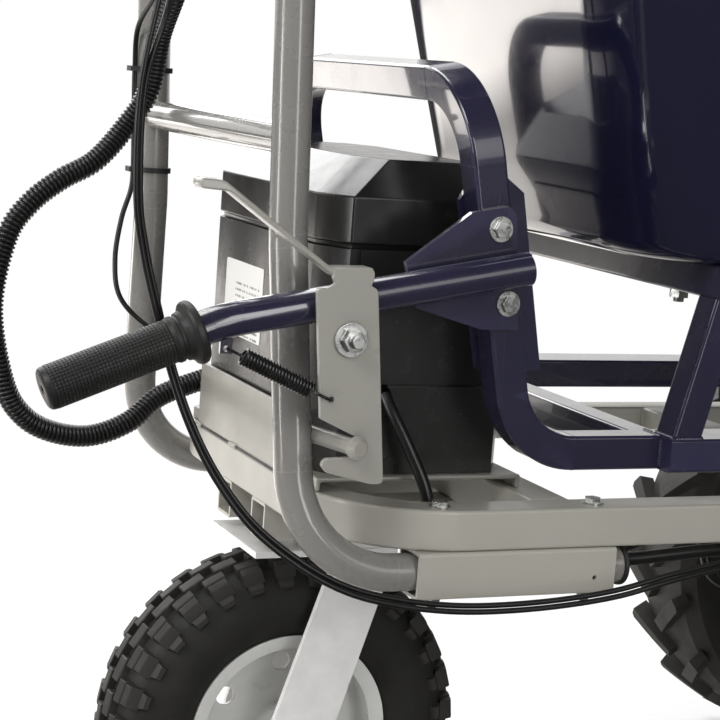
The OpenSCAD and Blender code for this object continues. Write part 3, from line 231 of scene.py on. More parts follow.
def rubber(name, colour, rough, grain=500.0, depth=0.0001):
    """Rubber with a dull bloom that gathers in patches."""
    s = Shader(name)
    bloom = s.spread(s.noise(14.0, 6.0), 0.0, 1.0, 0.35, 0.75)
    base = s.mix(bloom, shade(colour, 0.8), shade(colour, 1.6))
    s.set(Base_Color=s.mix(s.edges(0.54, 0.64), base, shade(colour, 2.2)))
    s.set(Roughness=s.spread(s.noise(70.0), rough * 0.9, min(1.0, rough * 1.12)))
    s.bump(s.noise(grain, 3.0), depth)
    return s.mat


def label_film():
    """A plain film: off-white, slightly wrinkled, with rows of fine grey dashes that spell nothing."""
    rows_per_metre, inked_share, dash_share = 170.0, 0.34, 0.47
    print_right, print_left, print_top = 0.0, 0.064, 0.594
    s = Shader("label_film")
    where = s.add("ShaderNodeSeparateXYZ", Vector=s.place)
    across, height = where.outputs["Y"], where.outputs["Z"]
    row = s.maths("FRACT", s.maths("MULTIPLY", height, rows_per_metre), 0.0)
    ink = s.maths("LESS_THAN", row, inked_share)
    dashes = s.noise(420.0, 1.0, (0.2, 1.0, 0.05))
    for kind, value, limit in (("GREATER_THAN", dashes, dash_share), ("LESS_THAN", across, print_left),
                               ("GREATER_THAN", across, print_right), ("LESS_THAN", height, print_top)):
        ink = s.maths("MULTIPLY", ink, s.maths(kind, value, limit))
    film = s.mix(s.noise(20.0), rgb(0.66, 0.65, 0.62), rgb(0.75, 0.74, 0.71))
    s.set(Base_Color=s.mix(ink, film, rgb(0.16, 0.16, 0.16)), Roughness=0.42)
    s.bump(s.noise(60.0, 2.0), 0.00015)
    return s.mat


GREY = paint("grey_paint", rgb(0.338, 0.327, 0.288), 0.36, 0.2)
# The chassis's grey paint made darker for the battery tray and retainer: painted shade.
TRAY_GREY_PAINTED_SHADE = paint("grey_paint_painted_shade", rgb(0.235, 0.227, 0.2), 0.36, 0.1)
POST_GREY = paint("post_grey_paint", rgb(0.2, 0.193, 0.18), 0.26, 0.8)
LATCH_GREY = paint("latch_grey_paint", rgb(0.27, 0.262, 0.235), 0.32, 0.5)
NAVY = paint("navy_paint", rgb(0.017, 0.0155, 0.038), 0.25, 1.0, vary=0.1, edge=1.5)
TUB_NAVY = paint("tub_navy", rgb(0.007, 0.007, 0.022), 0.12, 1.0, peel=0.00002, vary=0.1, edge=1.4)
CASE_BLACK = plastic("case_plastic", rgb(0.015, 0.0146, 0.0142), 0.25, 0.00002)
LID_BLACK = plastic("lid_plastic", rgb(0.011, 0.0105, 0.01), 0.24, 0.00002)
TRIM_BLACK = plastic("trim_plastic", rgb(0.014, 0.014, 0.014), 0.5)
CELL_GREY = plastic("cell_plastic", rgb(0.18, 0.2, 0.22), 0.5)
SWITCH_RED = plastic("switch_plastic", rgb(0.4, 0.02, 0.015), 0.3)
GRIP_BLACK = rubber("grip_rubber", rgb(0.009, 0.0087, 0.0083), 0.5)
CABLE_BLACK = rubber("cable_sheath", rgb(0.007, 0.0068, 0.0066), 0.34, 300.0, 0.00004)
HOSE_BLACK = rubber("conduit_plastic", rgb(0.007, 0.007, 0.007), 0.34, 300.0, 0.00003)
TYRE_BLACK = rubber("tyre_rubber", rgb(0.011, 0.0102, 0.009), 0.62, 260.0, 0.0003)
# The tyre rubber made lighter for the front tyres, which sit in shade: painted light.
FRONT_TYRE_PAINTED_LIGHT = rubber("front_tyre_rubber_painted_light", rgb(0.022, 0.0205, 0.0178), 0.6, 260.0, 0.0003)
ZINC = steel("zinc_steel", rgb(0.7, 0.71, 0.69), 0.28)
# Zinc for the caster's fork and mount: partly its paler plating, partly painted light, made brighter and less
# metallic than the other zinc.
FORK_ZINC_PAINTED_LIGHT = steel("fork_zinc_painted_light", rgb(0.9, 0.89, 0.88), 0.45, 0.3)
CAST_DARK = paint("dark_cast", rgb(0.05, 0.052, 0.055), 0.5, 0.0, peel=0.0002)
RIM_PAINT = paint("rim_paint", rgb(0.55, 0.55, 0.53), 0.3, 0.4)
SPRING_BLACK = paint("spring_steel", rgb(0.006, 0.006, 0.006), 0.3, 0.3)
LABEL = label_film()


# Ways to make a piece

HARD_EDGE = 32.0


def add_piece(name, mesh, body, material, nodes=()):
    """Adds a mesh that rides a body, or none, and stands in for the nodes."""
    obj = bpy.data.objects.new(name, mesh)
    scene.collection.objects.link(obj)
    mesh.materials.clear()
    mesh.materials.append(material)
    if body:
        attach(obj, body)
    if nodes:
        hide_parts(*nodes)
    return obj


def smooth_by_angle(mesh, degrees):
    mesh.polygons.foreach_set("use_smooth", [True] * len(mesh.polygons))
    mesh.set_sharp_from_angle(angle=math.radians(degrees))
    mesh.update()


def raw_piece(name, verts, faces, body, slot, material, nodes=(), angle=40.0):
    """Adds a piece from vertices and faces; edges that turn more than the angle stay sharp."""
    mesh = bpy.data.meshes.new(name)
    mesh.from_pydata(verts, [], faces)
    bm = bmesh.new()
    bm.from_mesh(mesh)
    bmesh.ops.recalc_face_normals(bm, faces=bm.faces)
    bm.to_mesh(mesh)
    bm.free()
    smooth_by_angle(mesh, angle)
    return add_piece(name, mesh, body, material, nodes)


def finished_mesh(obj):
    """A new mesh of what an object's modifiers or settings make of it."""
    bpy.context.view_layer.update()
    return bpy.data.meshes.new_from_object(obj.evaluated_get(bpy.context.evaluated_depsgraph_get()))


def bake_modifiers(obj):
    """Replaces an object's mesh by what its modifiers make of it."""
    made = finished_mesh(obj)
    plain = obj.data
    obj.modifiers.clear()
    obj.data = made
    bpy.data.meshes.remove(plain)


def dress(node, material, edge_mm, change=None):
    """Stands in for a node with the same solid, its hard edges rounded off."""
    bm = bmesh.new()
    bm.from_mesh(NODES[node].data)
    bmesh.ops.remove_doubles(bm, verts=bm.verts, dist=2e-5)
    bmesh.ops.dissolve_limit(bm, angle_limit=math.radians(0.6), verts=bm.verts, edges=bm.edges)
    if change:
        change(bm)
    mesh = bpy.data.meshes.new(node + "_skin")
    bm.to_mesh(mesh)
    bm.free()
    obj = bpy.data.objects.new(node + "_skin", mesh)
    scene.collection.objects.link(obj)
    if edge_mm > 0:
        bevel = obj.modifiers.new("edge", "BEVEL")
        bevel.width = edge_mm * MM
        bevel.segments = 2
        bevel.limit_method = "ANGLE"
        bevel.angle_limit = math.radians(HARD_EDGE)
        bevel.miter_outer = "MITER_ARC"
        bake_modifiers(obj)
    smooth_by_angle(obj.data, HARD_EDGE + 4)
    obj.modifiers.new("flat_faces", "WEIGHTED_NORMAL").keep_sharp = True
    bake_modifiers(obj)
    mesh = obj.data
    mesh.name = node + "_skin"
    mesh.materials.clear()
    mesh.materials.append(material)
    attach(obj, NODE_BODY[node])
    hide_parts(node)


def catmull(points, steps):
    """A smooth line through the points, with the given steps in each span."""
    out = []
    last = len(points) - 1
    for i in range(last):
        a, b = points[max(i - 1, 0)], points[i]
        c, d = points[i + 1], points[min(i + 2, last)]
        for k in range(steps):
            t = k / steps
            out.append(0.5 * (2 * b + (c - a) * t + (2 * a - 5 * b + 4 * c - d) * t * t
                              + (3 * b - a - 3 * c + d) * t ** 3))
    out.append(points[-1].copy())
    return out


def path_frames(points):
    """Two directions square to the line at each point, carried along it without twist."""
    side = Vector((0.31, 0.89, 0.33))
    out = []
    for i in range(len(points)):
        w = (points[min(i + 1, len(points) - 1)] - points[max(i - 1, 0)]).normalized()
        side = (side - side.dot(w) * w).normalized()
        out.append((side.copy(), w.cross(side)))
    return out


def bands(rows, around, closed=False):
    """Faces between rows of vertices that each go once around; closed joins the last to the first."""
    faces = []
    for i in range(rows if closed else rows - 1):
        this, following = i * around, (i + 1) % rows * around
        for k in range(around):
            j = (k + 1) % around
            faces.append((this + k, this + j, following + j, following + k))
    return faces


def end_faces(rows, around):
    """The two faces that close the first and the last of such rows."""
    last = (rows - 1) * around
    return [tuple(range(around))[::-1], tuple(range(last, last + around))]


def sweep(points, radii, sides):
    """Vertices and faces of a closed tube along the points."""
    verts = []
    for p, r, (u, v) in zip(points, radii, path_frames(points)):
        for k in range(sides):
            a = 2 * math.pi * k / sides
            verts.append(p + r * (math.cos(a) * u + math.sin(a) * v))
    return verts, bands(len(points), sides) + end_faces(len(points), sides)


def join(parts):
    """One mesh from several lists of vertices and faces."""
    verts, faces = [], []
    for v, f in parts:
        first = len(verts)
        verts.extend(v)
        faces.extend(tuple(i + first for i in face) for face in f)
    return verts, faces


def square_axes(axis):
    """The axis and two directions square to it, each of unit length."""
    w = axis.normalized()
    u = w.orthogonal().normalized()
    return w, u, w.cross(u)


def lathe(profile, origin, axis, sides):
    """Turns a closed outline of (along, radius) points in mm about an axis."""
    w, u, v = square_axes(axis)
    verts = []
    for s, r in profile:
        for k in range(sides):
            a = 2 * math.pi * k / sides
            verts.append(origin + w * (s * MM) + (r * MM) * (math.cos(a) * u + math.sin(a) * v))
    return verts, bands(len(profile), sides, closed=True)


# Cables, each along the route of its solid

BRAKE_RUN = [(-145, -206, 330), (-144, -206, 250), (-136, -206, 204), (-124, -208, 160), (-110, -214, 110),
             (-94, -224, 66), (-74, -238, 27), (-46, -252, -9), (-5, -262, -40), (35, -266, -60),
             (80, -266, -72), (126, -265, -79), (173, -265, -81), (230, -265, -79), (288, -264, -73),
             (347, -262, -61), (420, -254, -52)]


def beside(route, gap, turn):
    """The same route moved sideways by the gap, turned about the line from straight up."""
    out = []
    for i, p in enumerate(route):
        a, b = Vector(route[max(i - 1, 0)]), Vector(route[min(i + 1, len(route) - 1)])
        w = (b - a).normalized()
        up = Vector((-w.z, 0, w.x)).normalized()
        out.append(tuple(Vector(p) + gap * (math.cos(turn) * up - math.sin(turn) * w.cross(up))))
    return out


def evenly(points, step):
    """The same line cut into even steps."""
    run = [0.0]
    for a, b in zip(points, points[1:]):
        run.append(run[-1] + (b - a).length)
    count = int(run[-1] / step)
    out = []
    k = 0
    for i in range(count + 1):
        s = run[-1] * i / count
        while k < len(run) - 2 and run[k + 1] < s:
            k += 1
        t = (s - run[k]) / (run[k + 1] - run[k])
        out.append(points[k].lerp(points[k + 1], min(t, 1.0)))
    return out


def cable(name, route, diameter, node, sides=14):
    """A plain round sheath along a route in mm."""
    points = catmull([at(*p) for p in route], 8)
    verts, faces = sweep(points, [diameter * MM / 2] * len(points), sides)
    raw_piece(name, verts, faces, NODE_BODY[node], NODE_SLOT[node], CABLE_BLACK, [node])


def ringed_sheath(route):
    """A brake cable's sheath, whose wound wire shows as fine rings."""
    ring_radii, ring_step = (2.36, 2.5, 2.5), 0.85
    points = evenly(catmull([at(*p) for p in route], 12), ring_step * MM)
    radii = [ring_radii[i % 3] * MM for i in range(len(points))]
    return sweep(points, radii, 12)


NEAR_BRAKE = ([(-145.4, -187, 546), (-124, -188, 543), (-116, -198, 490), (-132, -204, 410)] + BRAKE_RUN
              + [(500, -238, -52), (600, -222, -60), (760, -200, -100), (850, -192, -134), (880, -210, -150),
                 (880, -231.6, -150)])
FAR_BRAKE = ([(-35, -95.3, 480), (-39, -111, 478), (-104, -172, 430), (-128, -200, 380)]
             + beside(BRAKE_RUN, 5.6, math.radians(40))
             + [(500, -232, -45), (600, -210, -52), (700, -155, -66), (790, -60, -80), (830, 90, -86),
                (860, 186, -128), (880, 210, -150), (880, 231.6, -150)])
raw_piece("brake_cable_sheaths", *join([ringed_sheath(NEAR_BRAKE), ringed_sheath(FAR_BRAKE)]), "chassis",
          NODE_SLOT["brake_cables"], CABLE_BLACK, ["brake_cables"])

BATTERY_LEAD = [(103, -153, 82), (108, -164, 66), (121, -177, 36), (134, -189, 0), (145, -190, -55),
                (230, -180, -70), (340, -130, -76), (460, -40, -84), (560, 30, -100), (582.7, 28, -146),
                (628.7, 24, -166), (652.4, 24, -166)]
DRIVE_CABLE = [(284, -226.5, -51), (324, -226.5, -51), (410, -226.5, -46), (520, -214, -50),
               (640, -160, -70), (700, -90, -106), (740, -44, -134)]
THROTTLE_CABLE = [(-30, 80, 437), (-36, 120, 410), (-36, 172, 380), (-32.6, 187, 340), (-30.6, 187, 290),
                  (-28.72, 187, 243), (-30, 187, 222), (-38, 186, 194), (-44, 180, 154), (-40, 168, 118),
                  (-14, 150, 92), (20, 138, 84), (49, 131, 83)]
CONDUIT = [(-36, 60, 439.5), (-36, 60, 416), (-39, 92, 372), (-40, 114, 322), (-58, 118, 288),
           (-88, 112, 254), (-121, 108, 235), (-150, 104, 212), (-171, 100, 180), (-182, 98, 115),
           (-168, 100, 47), (-147, 105, 14), (-116, 110, -3), (-77, 116, -8), (-38, 123, 4), (-4, 135, 27),
           (54, 144, 46)]
cable("battery_lead_sheath", BATTERY_LEAD, 11, "battery_lead")
cable("drive_cable_sheath", DRIVE_CABLE, 12, "drive_cable", sides=18)
cable("throttle_cable_sheath", THROTTLE_CABLE, 5, "throttle_cable")


def conduit():
    """The ribbed conduit: flat-topped ribs with narrow grooves, each rib of six rings."""
    pitch, groove_radius, rib_height, rings = 4.3, 8.6, 1.9, 6
    points = evenly(catmull([at(*p) for p in CONDUIT], 40), pitch * MM / rings)
    radii = []
    for i in range(len(points)):
        wave = 0.5 + 0.5 * math.cos(2 * math.pi * i / rings)
        radii.append((groove_radius + rib_height * min(1.0, wave * 1.5)) * MM)
    verts, faces = sweep(points, radii, 16)
    raw_piece("ribbed_conduit", verts, faces, "chassis", "black_rubber", HOSE_BLACK, ["cable_conduit"], 70)


conduit()


# Places on the lever and its latch: x and z in mm, and the planes they lie in

LEVER_Y = -236.5
LEVER_TIP = (-214, 102)
LEVER_BEND = (-76, 156)
LEVER_FRONT = (196, 205)
LEVER_RADIUS = 14
LATCH_PIVOT = (20, 146)
LATCH_GAP = 7
LATCH_IN = LEVER_Y - LEVER_RADIUS - LATCH_GAP


def on_lever(place):
    return at(place[0], LEVER_Y, place[1])


# Latch spring, which stretches between the lever and the latch plate

def latch_spring():
    """Close turns of wire, with an eye under the lever and a hook in the plate's small hole."""
    start = at(-73, LEVER_Y - 5, 134)
    end = at(6.5, LATCH_IN + 9, 98)
    axis = (end - start).normalized()
    side = axis.cross(Vector((0, 0, 1))).normalized()
    up = axis.cross(side)
    turns, pitch, radius, wire = 22, 2.85 * MM, 6.3 * MM, 1.32 * MM
    lead = ((end - start).length - turns * pitch) / 2
    points = [start + Vector((0, y * MM, 0)) for y in (9, 3, 0.8)]
    points += [start + axis * 2 * MM, start + axis * (lead - 5 * MM)]
    points.append(start + axis * (lead - 2.5 * MM) + side * 3 * MM)
    steps = 16
    for i in range(steps * turns + 1):
        a = 2 * math.pi * i / steps
        middle = start + axis * (lead + pitch * i / steps)
        points.append(middle + radius * (math.cos(a) * side + math.sin(a) * up))
    points.append(end - axis * (lead - 2.5 * MM) + side * 3 * MM)
    hook = [(-8.5, -253, 104.6), (-7.4, -259, 104), (-5, -263.6, 103), (-1.5, -265.6, 101.4),
            (3, -265.6, 99.4), (6.3, -264.8, 98.2), (7.3, -261, 98), (7.3, -254, 98)]
    points += catmull([at(*p) for p in hook], 3)
    verts, faces = sweep(points, [wire] * len(points), 8)
    obj = raw_piece("latch_spring_wire", verts, faces, None, "spring_steel", SPRING_BLACK,
                    ["latch_spring"], 60)
    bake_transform(obj)


latch_spring()


# Latch plate, with rounded corners and a turned-out thumb arm

ROUND_STEPS = 6
CIRCLE_STEPS = 28


def rounded(corners):
    """An outline whose corners (x, y, radius) are rounded off."""
    out = []
    n = len(corners)
    for i, (x, y, r) in enumerate(corners):
        p = Vector((x, y))
        arms = [Vector(corners[(i + s) % n][:2]) - p for s in (-1, 1)]
        half = arms[0].angle(arms[1]) / 2
        reach = min(r / math.tan(half), *(a.length * 0.48 for a in arms))
        a, b = (p + arm.normalized() * reach for arm in arms)
        for k in range(ROUND_STEPS + 1):
            t = k / ROUND_STEPS
            out.append((1 - t) ** 2 * a + 2 * t * (1 - t) * p + t * t * b)
    return out


def circle(x, y, r):
    turns = [2 * math.pi * k / CIRCLE_STEPS for k in range(CIRCLE_STEPS)]
    return [Vector((x + r * math.cos(a), y + r * math.sin(a))) for a in turns]


def cut_plate(outlines, half, soft):
    """A flat plate from its outline and holes, with softened edges: vertices (mm) and faces."""
    data = bpy.data.curves.new("plate", "CURVE")
    data.dimensions = "2D"
    data.fill_mode = "BOTH"
    data.extrude = half - soft
    data.bevel_depth = soft
    data.bevel_resolution = 2
    data.offset = -soft
    for outline in outlines:
        spline = data.splines.new("POLY")
        spline.points.add(len(outline) - 1)
        for point, p in zip(spline.points, outline):
            point.co = (p.x, p.y, 0.0, 1.0)
        spline.use_cyclic_u = True
    obj = bpy.data.objects.new("plate", data)
    scene.collection.objects.link(obj)
    mesh = finished_mesh(obj)
    bpy.data.objects.remove(obj)
    verts = [v.co.copy() for v in mesh.vertices]
    faces = [tuple(p.vertices) for p in mesh.polygons]
    bpy.data.meshes.remove(mesh)
    bpy.data.curves.remove(data)
    return verts, faces


def latch_plate():
    """The plate and its arm, drawn as (along, up, corner radius) in mm from the pivot."""
    half_plate, half_arm, slot_radius = 2.5, 10, 8.5
    slot = []
    for degrees in range(80, -91, -10):
        a = math.radians(degrees)
        slot.append((8.5 + slot_radius * math.cos(a), -86 + slot_radius * math.sin(a), 0.3))
    rear = [(-31, 40, 9), (-20.5, -63.5, 3)]
    foot = [(-14, -95.5, 5), (-17.5, -101, 5), (-12, -107, 4), (27, -117, 4), (38, -117, 9)]
    head = [(21, 40, 7), (14.5, 43, 3), (17, 47, 3), (17, 56, 5), (-18, 56, 5), (-18, 48, 3), (-15.5, 44, 3),
            (-22, 40, 4)]
    spring_hole, pivot_hole = circle(-12.5, -48, 2.5), circle(0, 0, 5.05)
    plate = cut_plate([rounded(rear + slot + foot + head), spring_hole, pivot_hole], half_plate, 0.6)
    thumb_arm = [(16, 49.5, 2), (-14.5, 48, 12), (-107, 112, 14), (-131, 113.5, 4), (-131, 121.5, 4),
                 (-112, 120.5, 16), (-20, 56.5, 12), (16, 57, 2)]
    arm = cut_plate([rounded(thumb_arm)], half_arm, 1.6)

    def stand(part, middle):
        verts, faces = part
        return [at(LATCH_PIVOT[0] + v.x, middle + v.z, LATCH_PIVOT[1] + v.y) for v in verts], faces

    sheet = join([stand(plate, LATCH_IN - half_plate), stand(arm, LATCH_IN + 5.5)])
    raw_piece("latch_plate_sheet", *sheet, NODE_BODY["latch_plate"], NODE_SLOT["latch_plate"], LATCH_GREY,
              ["latch_plate"], 30)


latch_plate()


# Grips

def hatched_sleeve(origin, axis, start, cells, pitch, radius, around):
    """A sleeve whose surface is cut into small square pads by fine grooves, open at both ends."""
    w, u, v = square_axes(axis)
    groove = 0.45
    cuts = (0.0, 0.13, 0.5, 0.87)
    rows = [(start + pitch * (c + f), f > 0) for c in range(cells) for f in cuts]
    rows.append((start + pitch * cells, False))
    verts = []
    for s, raised in rows:
        for c in range(around):
            for f in cuts:
                a = 2 * math.pi * (c + f) / around
                r = radius if raised and f > 0 else radius - groove
                verts.append(origin + w * s * MM + r * MM * (math.cos(a) * u + math.sin(a) * v))
    return verts, bands(len(rows), len(cuts) * around)


def lever_grip():
    """Moulded rubber grip: domed end with a vent hole, hatched hold, ring bands and a thick flange."""
    bore, overhang, hold_start, hold_length, pads = 14.02, 4, 6.4, 97.8, 35
    tip = on_lever(LEVER_TIP)
    axis = (on_lever(LEVER_BEND) - tip).normalized()
    origin = tip - axis * overhang * MM
    end = [(9, 3), (1.2, 3), (0.4, 3.6), (0, 5), (0, 12), (0.6, 14.6), (2.0, 16.4), (4, 17.1), (6, 17.2)]
    hold = [(hold_start, 16.6), (hold_start + hold_length, 16.6)]
    ring_bands = [(104.6, 17.3), (106, 17.5), (108, 18.6), (111, 18.6), (112, 17.6), (114, 17.6)]
    flange = [(115, 19.2), (118.5, 20), (120.5, 22.5), (121.6, 24.6), (123.4, 25.8), (126, 26), (128, 25.4),
              (129.6, 23.6), (130, 21)]
    inside = [(130, bore), (60, bore), (9, bore)]
    body = lathe(end + hold + ring_bands + flange + inside, origin, axis, 72)
    sleeve = hatched_sleeve(origin, axis, hold_start, pads, hold_length / pads, 17.5, 39)
    raw_piece("lever_grip_rubber", *join([body, sleeve]), "tub", "black_rubber", GRIP_BLACK,
              ["lever_grip"], 28)


lever_grip()


def hand_grips():
    """Two rubber grips with rings along their hold and a collar at the inner end."""
    bore, overhang, ring_pitch, hold_end = 16.02, 4, 6.0, 112
    parts = []
    for side in (-1, 1):
        end, turn = at(-320, side * 187, 600), at(-22.4, side * 187, 560)
        axis = (turn - end).normalized()
        origin = end - axis * overhang * MM
        profile = [(4, 0.2), (0, 0.2), (0, 12), (0.8, 15.6), (2.4, 17.8), (5, 18.6), (9, 18.8)]
        s = 10.0
        while s < hold_end:
            profile += [(s, 18.0), (s + 1.0, 17.4), (s + 2.2, 17.4), (s + 3.2, 18.0), (s + 5.0, 18.2)]
            s += ring_pitch
        profile += [(118, 17.6), (120, 18.9), (127, 18.9), (129, 17.6), (129, bore), (4, bore)]
        parts.append(lathe(profile, origin, axis, 56))
    raw_piece("hand_grip_rubber", *join(parts), "chassis", "black_rubber", GRIP_BLACK,
              ["handlebar_grips"], 50)


hand_grips()


# Tub: a smooth pressed shell

TUB_X = 306.7
TUB_Z = 210.0
TUB_H = 400.0
TUB_RAKE = 96.0
TUB_SHEET = 3.0
TUB_FOLD = 22.0
FLOOR = (575.0, 500.0, 110.0)
RIM = (920.0, 650.0, 150.0)


def tub_ring(share, inset, z):
    """One level outline of the tub, from its floor (0) to its rim (1), drawn in by inset.

    FLOOR and RIM each give a length, a width and a corner radius.
    """
    length, width, corner = (a + (b - a) * share for a, b in zip(FLOOR, RIM))
    x0 = TUB_X - TUB_RAKE * share + inset
    length, width, corner = length - 2 * inset, width - 2 * inset, max(corner - inset, 4.0)
    steps = 24
    ring = []
    corners = [(x0 + length - corner, width / 2 - corner, 0), (x0 + corner, width / 2 - corner, 90),
               (x0 + corner, corner - width / 2, 180), (x0 + length - corner, corner - width / 2, 270)]
    for cx, cy, start in corners:
        for k in range(steps + 1):
            a = math.radians(start + 90 * k / steps)
            ring.append(at(cx + corner * math.cos(a), cy + corner * math.sin(a), z))
    return ring


def tub_side(inset, floor):
    """Outlines of one face of the sheet: up the floor's fold, then up the wall."""
    fold_steps, wall_steps = 6, 16
    rings = []
    for k in range(fold_steps + 1):
        a = math.radians(90 * k / fold_steps)
        z = floor + TUB_FOLD * (1 - math.cos(a))
        rings.append(tub_ring(0, inset + TUB_FOLD * (1 - math.sin(a)), z))
    for k in range(1, wall_steps + 1):
        z = TUB_FOLD + (TUB_H - TUB_FOLD) * k / wall_steps
        rings.append(tub_ring(z / TUB_H, inset, TUB_Z + z))
    return rings


def tub_shell():
    """The outer face from the floor up, then the inner face back down."""
    rings = tub_side(0, TUB_Z) + tub_side(TUB_SHEET, TUB_Z + TUB_SHEET)[::-1]
    n = len(rings[0])
    verts = [p for ring in rings for p in ring]
    faces = bands(len(rings), n) + end_faces(len(rings), n)
    raw_piece("tub_pressing", verts, faces, "tub", "navy_paint", TUB_NAVY, ["tub_shell"], 50)


tub_shell()


# Weld beads

STRUT_FOOT = [(346, -235, 57.5), (374, -235, 57.5), (375, -206, 57.5), (345, -206, 57.5), (346, -234, 57.5)]
TUB_RAIL_START = 344
GUSSET_Y = -224
GUSSET_RUN = ((88, 185.5), (186, 203.2))
RETAINER_STITCHES = (-112, 24, 124)
CROSSMEMBER_SIDES = (222, 262, 593, 633)
RAIL_INNER = 208


def bead(points, radius):
    """A rippled weld along straight runs between points given in mm, thin at both ends."""
    line = evenly([at(*p) for p in points], 0.6 * MM)
    radii = [radius * MM * (0.92 + 0.1 * math.cos(2 * math.pi * i / 4)) for i in range(len(line))]
    radii[0] = radii[-1] = radius * MM * 0.4
    return sweep(line, radii, 10)


def mirrored(points):
    return [(x, -y, z) for x, y, z in points]


def tub_welds():
    """Beads round the struts' feet, where the hoop meets the rails, and along the lever on its gusset."""
    beads = [bead(STRUT_FOOT, 2.6), bead(mirrored(STRUT_FOOT), 2.6)]
    for side in (-1, 1):
        beads.append(bead([(TUB_RAIL_START, side * 188.5, 56), (TUB_RAIL_START, side * 217, 56)], 2.4))
        beads.append(bead([(TUB_RAIL_START, side * 218.5, 30), (TUB_RAIL_START, side * 218.5, 55)], 2.4))
    for lift in (-6.6, 6.6):
        beads.append(bead([(x, GUSSET_Y, z + lift) for x, z in GUSSET_RUN], 1.8))
    raw_piece("tub_weld_beads", *join(beads), "tub", NODE_SLOT["tub_main_frame"], NAVY, angle=60)


def chassis_welds():
    """Stitches along the battery retainer, and beads where the crossmembers meet the rails."""
    beads = []
    for y in RETAINER_STITCHES:
        beads.append(bead([(33.6, y - 9, 0.6), (33.6, y + 9, 0.6)], 2.4))
    for side in (-1, 1):
        for x in CROSSMEMBER_SIDES:
            beads.append(bead([(x, side * RAIL_INNER, -1), (x, side * RAIL_INNER, -36)], 2.2))
    raw_piece("chassis_weld_beads", *join(beads), "chassis", NODE_SLOT["chassis_frame"], GREY, angle=60)


def retainer_painted_shadow():
    """A thin black tube along the retainer's joint, between its stitches: painted shadow for the shaded gap
    there.
    """
    line = [at(33.8, -124 + 2 * k, 0.9) for k in range(128)]
    tube = sweep(line, [1.25 * MM] * len(line), 8)
    raw_piece("retainer_painted_shadow", *tube, "chassis", NODE_SLOT["rest_pads"], TRIM_BLACK, angle=60)


tub_welds()
chassis_welds()
retainer_painted_shadow()


# Battery label: a film with rounded corners

def rounded_label():
    """A thin sheet on the battery's rear face."""
    y0, y1, z0, z1, r = -8.0, 92.0, 100.0, 170.0, 3.0
    outer, inner = 40.55, 41.0
    corners = [(y1 - r, z1 - r, 0), (y0 + r, z1 - r, 90), (y0 + r, z0 + r, 180), (y1 - r, z0 + r, 270)]
    edge = []
    for cy, cz, start in corners:
        for k in range(7):
            a = math.radians(start + 15 * k)
            edge.append((cy + r * math.cos(a), cz + r * math.sin(a)))
    n = len(edge)
    verts = [at(x, y, z) for x in (outer, inner) for y, z in edge]
    faces = [tuple(range(n)), tuple(range(2 * n - 1, n - 1, -1))]
    faces += [(k, (k + 1) % n, n + (k + 1) % n, n + k) for k in range(n)]
    raw_piece("battery_label_film", verts, faces, NODE_BODY["battery_label"], NODE_SLOT["battery_label"],
              LABEL, ["battery_label"])


rounded_label()


# Rear tyre with rows of small blocks

def block(theta, half, y0, y1, crown, height):
    """One tread block about the wheel's axis: angles in radians, sizes in mm, sunk well into the casing."""
    verts = []
    for drop, share, pull in ((height + 4.0, 1.12, -0.6), (0.8, 1.0, 0.0), (0.0, 0.92, 0.9)):
        for y in (y0 + pull, y1 - pull):
            for turn in (-half * share, half * share):
                verts.append((theta + turn, y, crown(y) - drop))
    faces = []
    for low, top in ((0, 4), (4, 8)):
        for a, b in ((0, 1), (1, 3), (3, 2), (2, 0)):
            faces.append((low + a, low + b, top + b, top + a))
    faces.append((8, 9, 11, 10))
    faces.append((0, 2, 3, 1))
    return verts, faces


CASTER_HUB = (86.0, 0.0, -265.0)
CASTER_RADIUS = 175.0
BLOCKS_AROUND = 32


def on_caster(theta, y, r):
    """A point about the rear wheel's axle: an angle, a place across and a radius."""
    return at(CASTER_HUB[0] + r * math.cos(theta), y, CASTER_HUB[2] + r * math.sin(theta))


def caster_casing():
    """The casing from bead to bead, with its inside: (across, radius) in mm."""
    half = [(0, 166.4), (10, 166.2), (20, 164.6), (29, 160.6), (36, 154), (40.5, 145), (43, 134), (43.5, 124),
            (42, 112), (38, 103), (32.5, 97), (27.5, 91), (27.2, 88.3)]
    ring = [Vector((y, r, 0)) for y, r in half[::-1]] + [Vector((-y, r, 0)) for y, r in half[1:]]
    skin = [(p.x, p.y) for p in catmull(ring, 3)]
    liner = [(-20.0, 88.3), (-31.0, 110.0), (-33.0, 128.0), (-26.0, 148.0), (0.0, 154.5), (26.0, 148.0),
             (33.0, 128.0), (31.0, 110.0), (20.0, 88.3)]
    return lathe(skin + liner, at(*CASTER_HUB), Vector((0, 1, 0)), 128)


def side_block(theta, side):
    """One block on the tyre's shoulder, which thins out down the side."""
    verts = []
    for y, reach in ((37.0, 0.05), (43.4, 0.04)):
        for r in (141.0 + y - 37, 157.0 - (y - 37) * 0.8):
            for turn in (-reach, reach):
                verts.append(on_caster(theta + turn, side * y, r))
    faces = [(0, 1, 3, 2), (4, 6, 7, 5), (0, 4, 5, 1), (1, 5, 7, 3), (3, 7, 6, 2), (2, 6, 4, 0)]
    return verts, faces


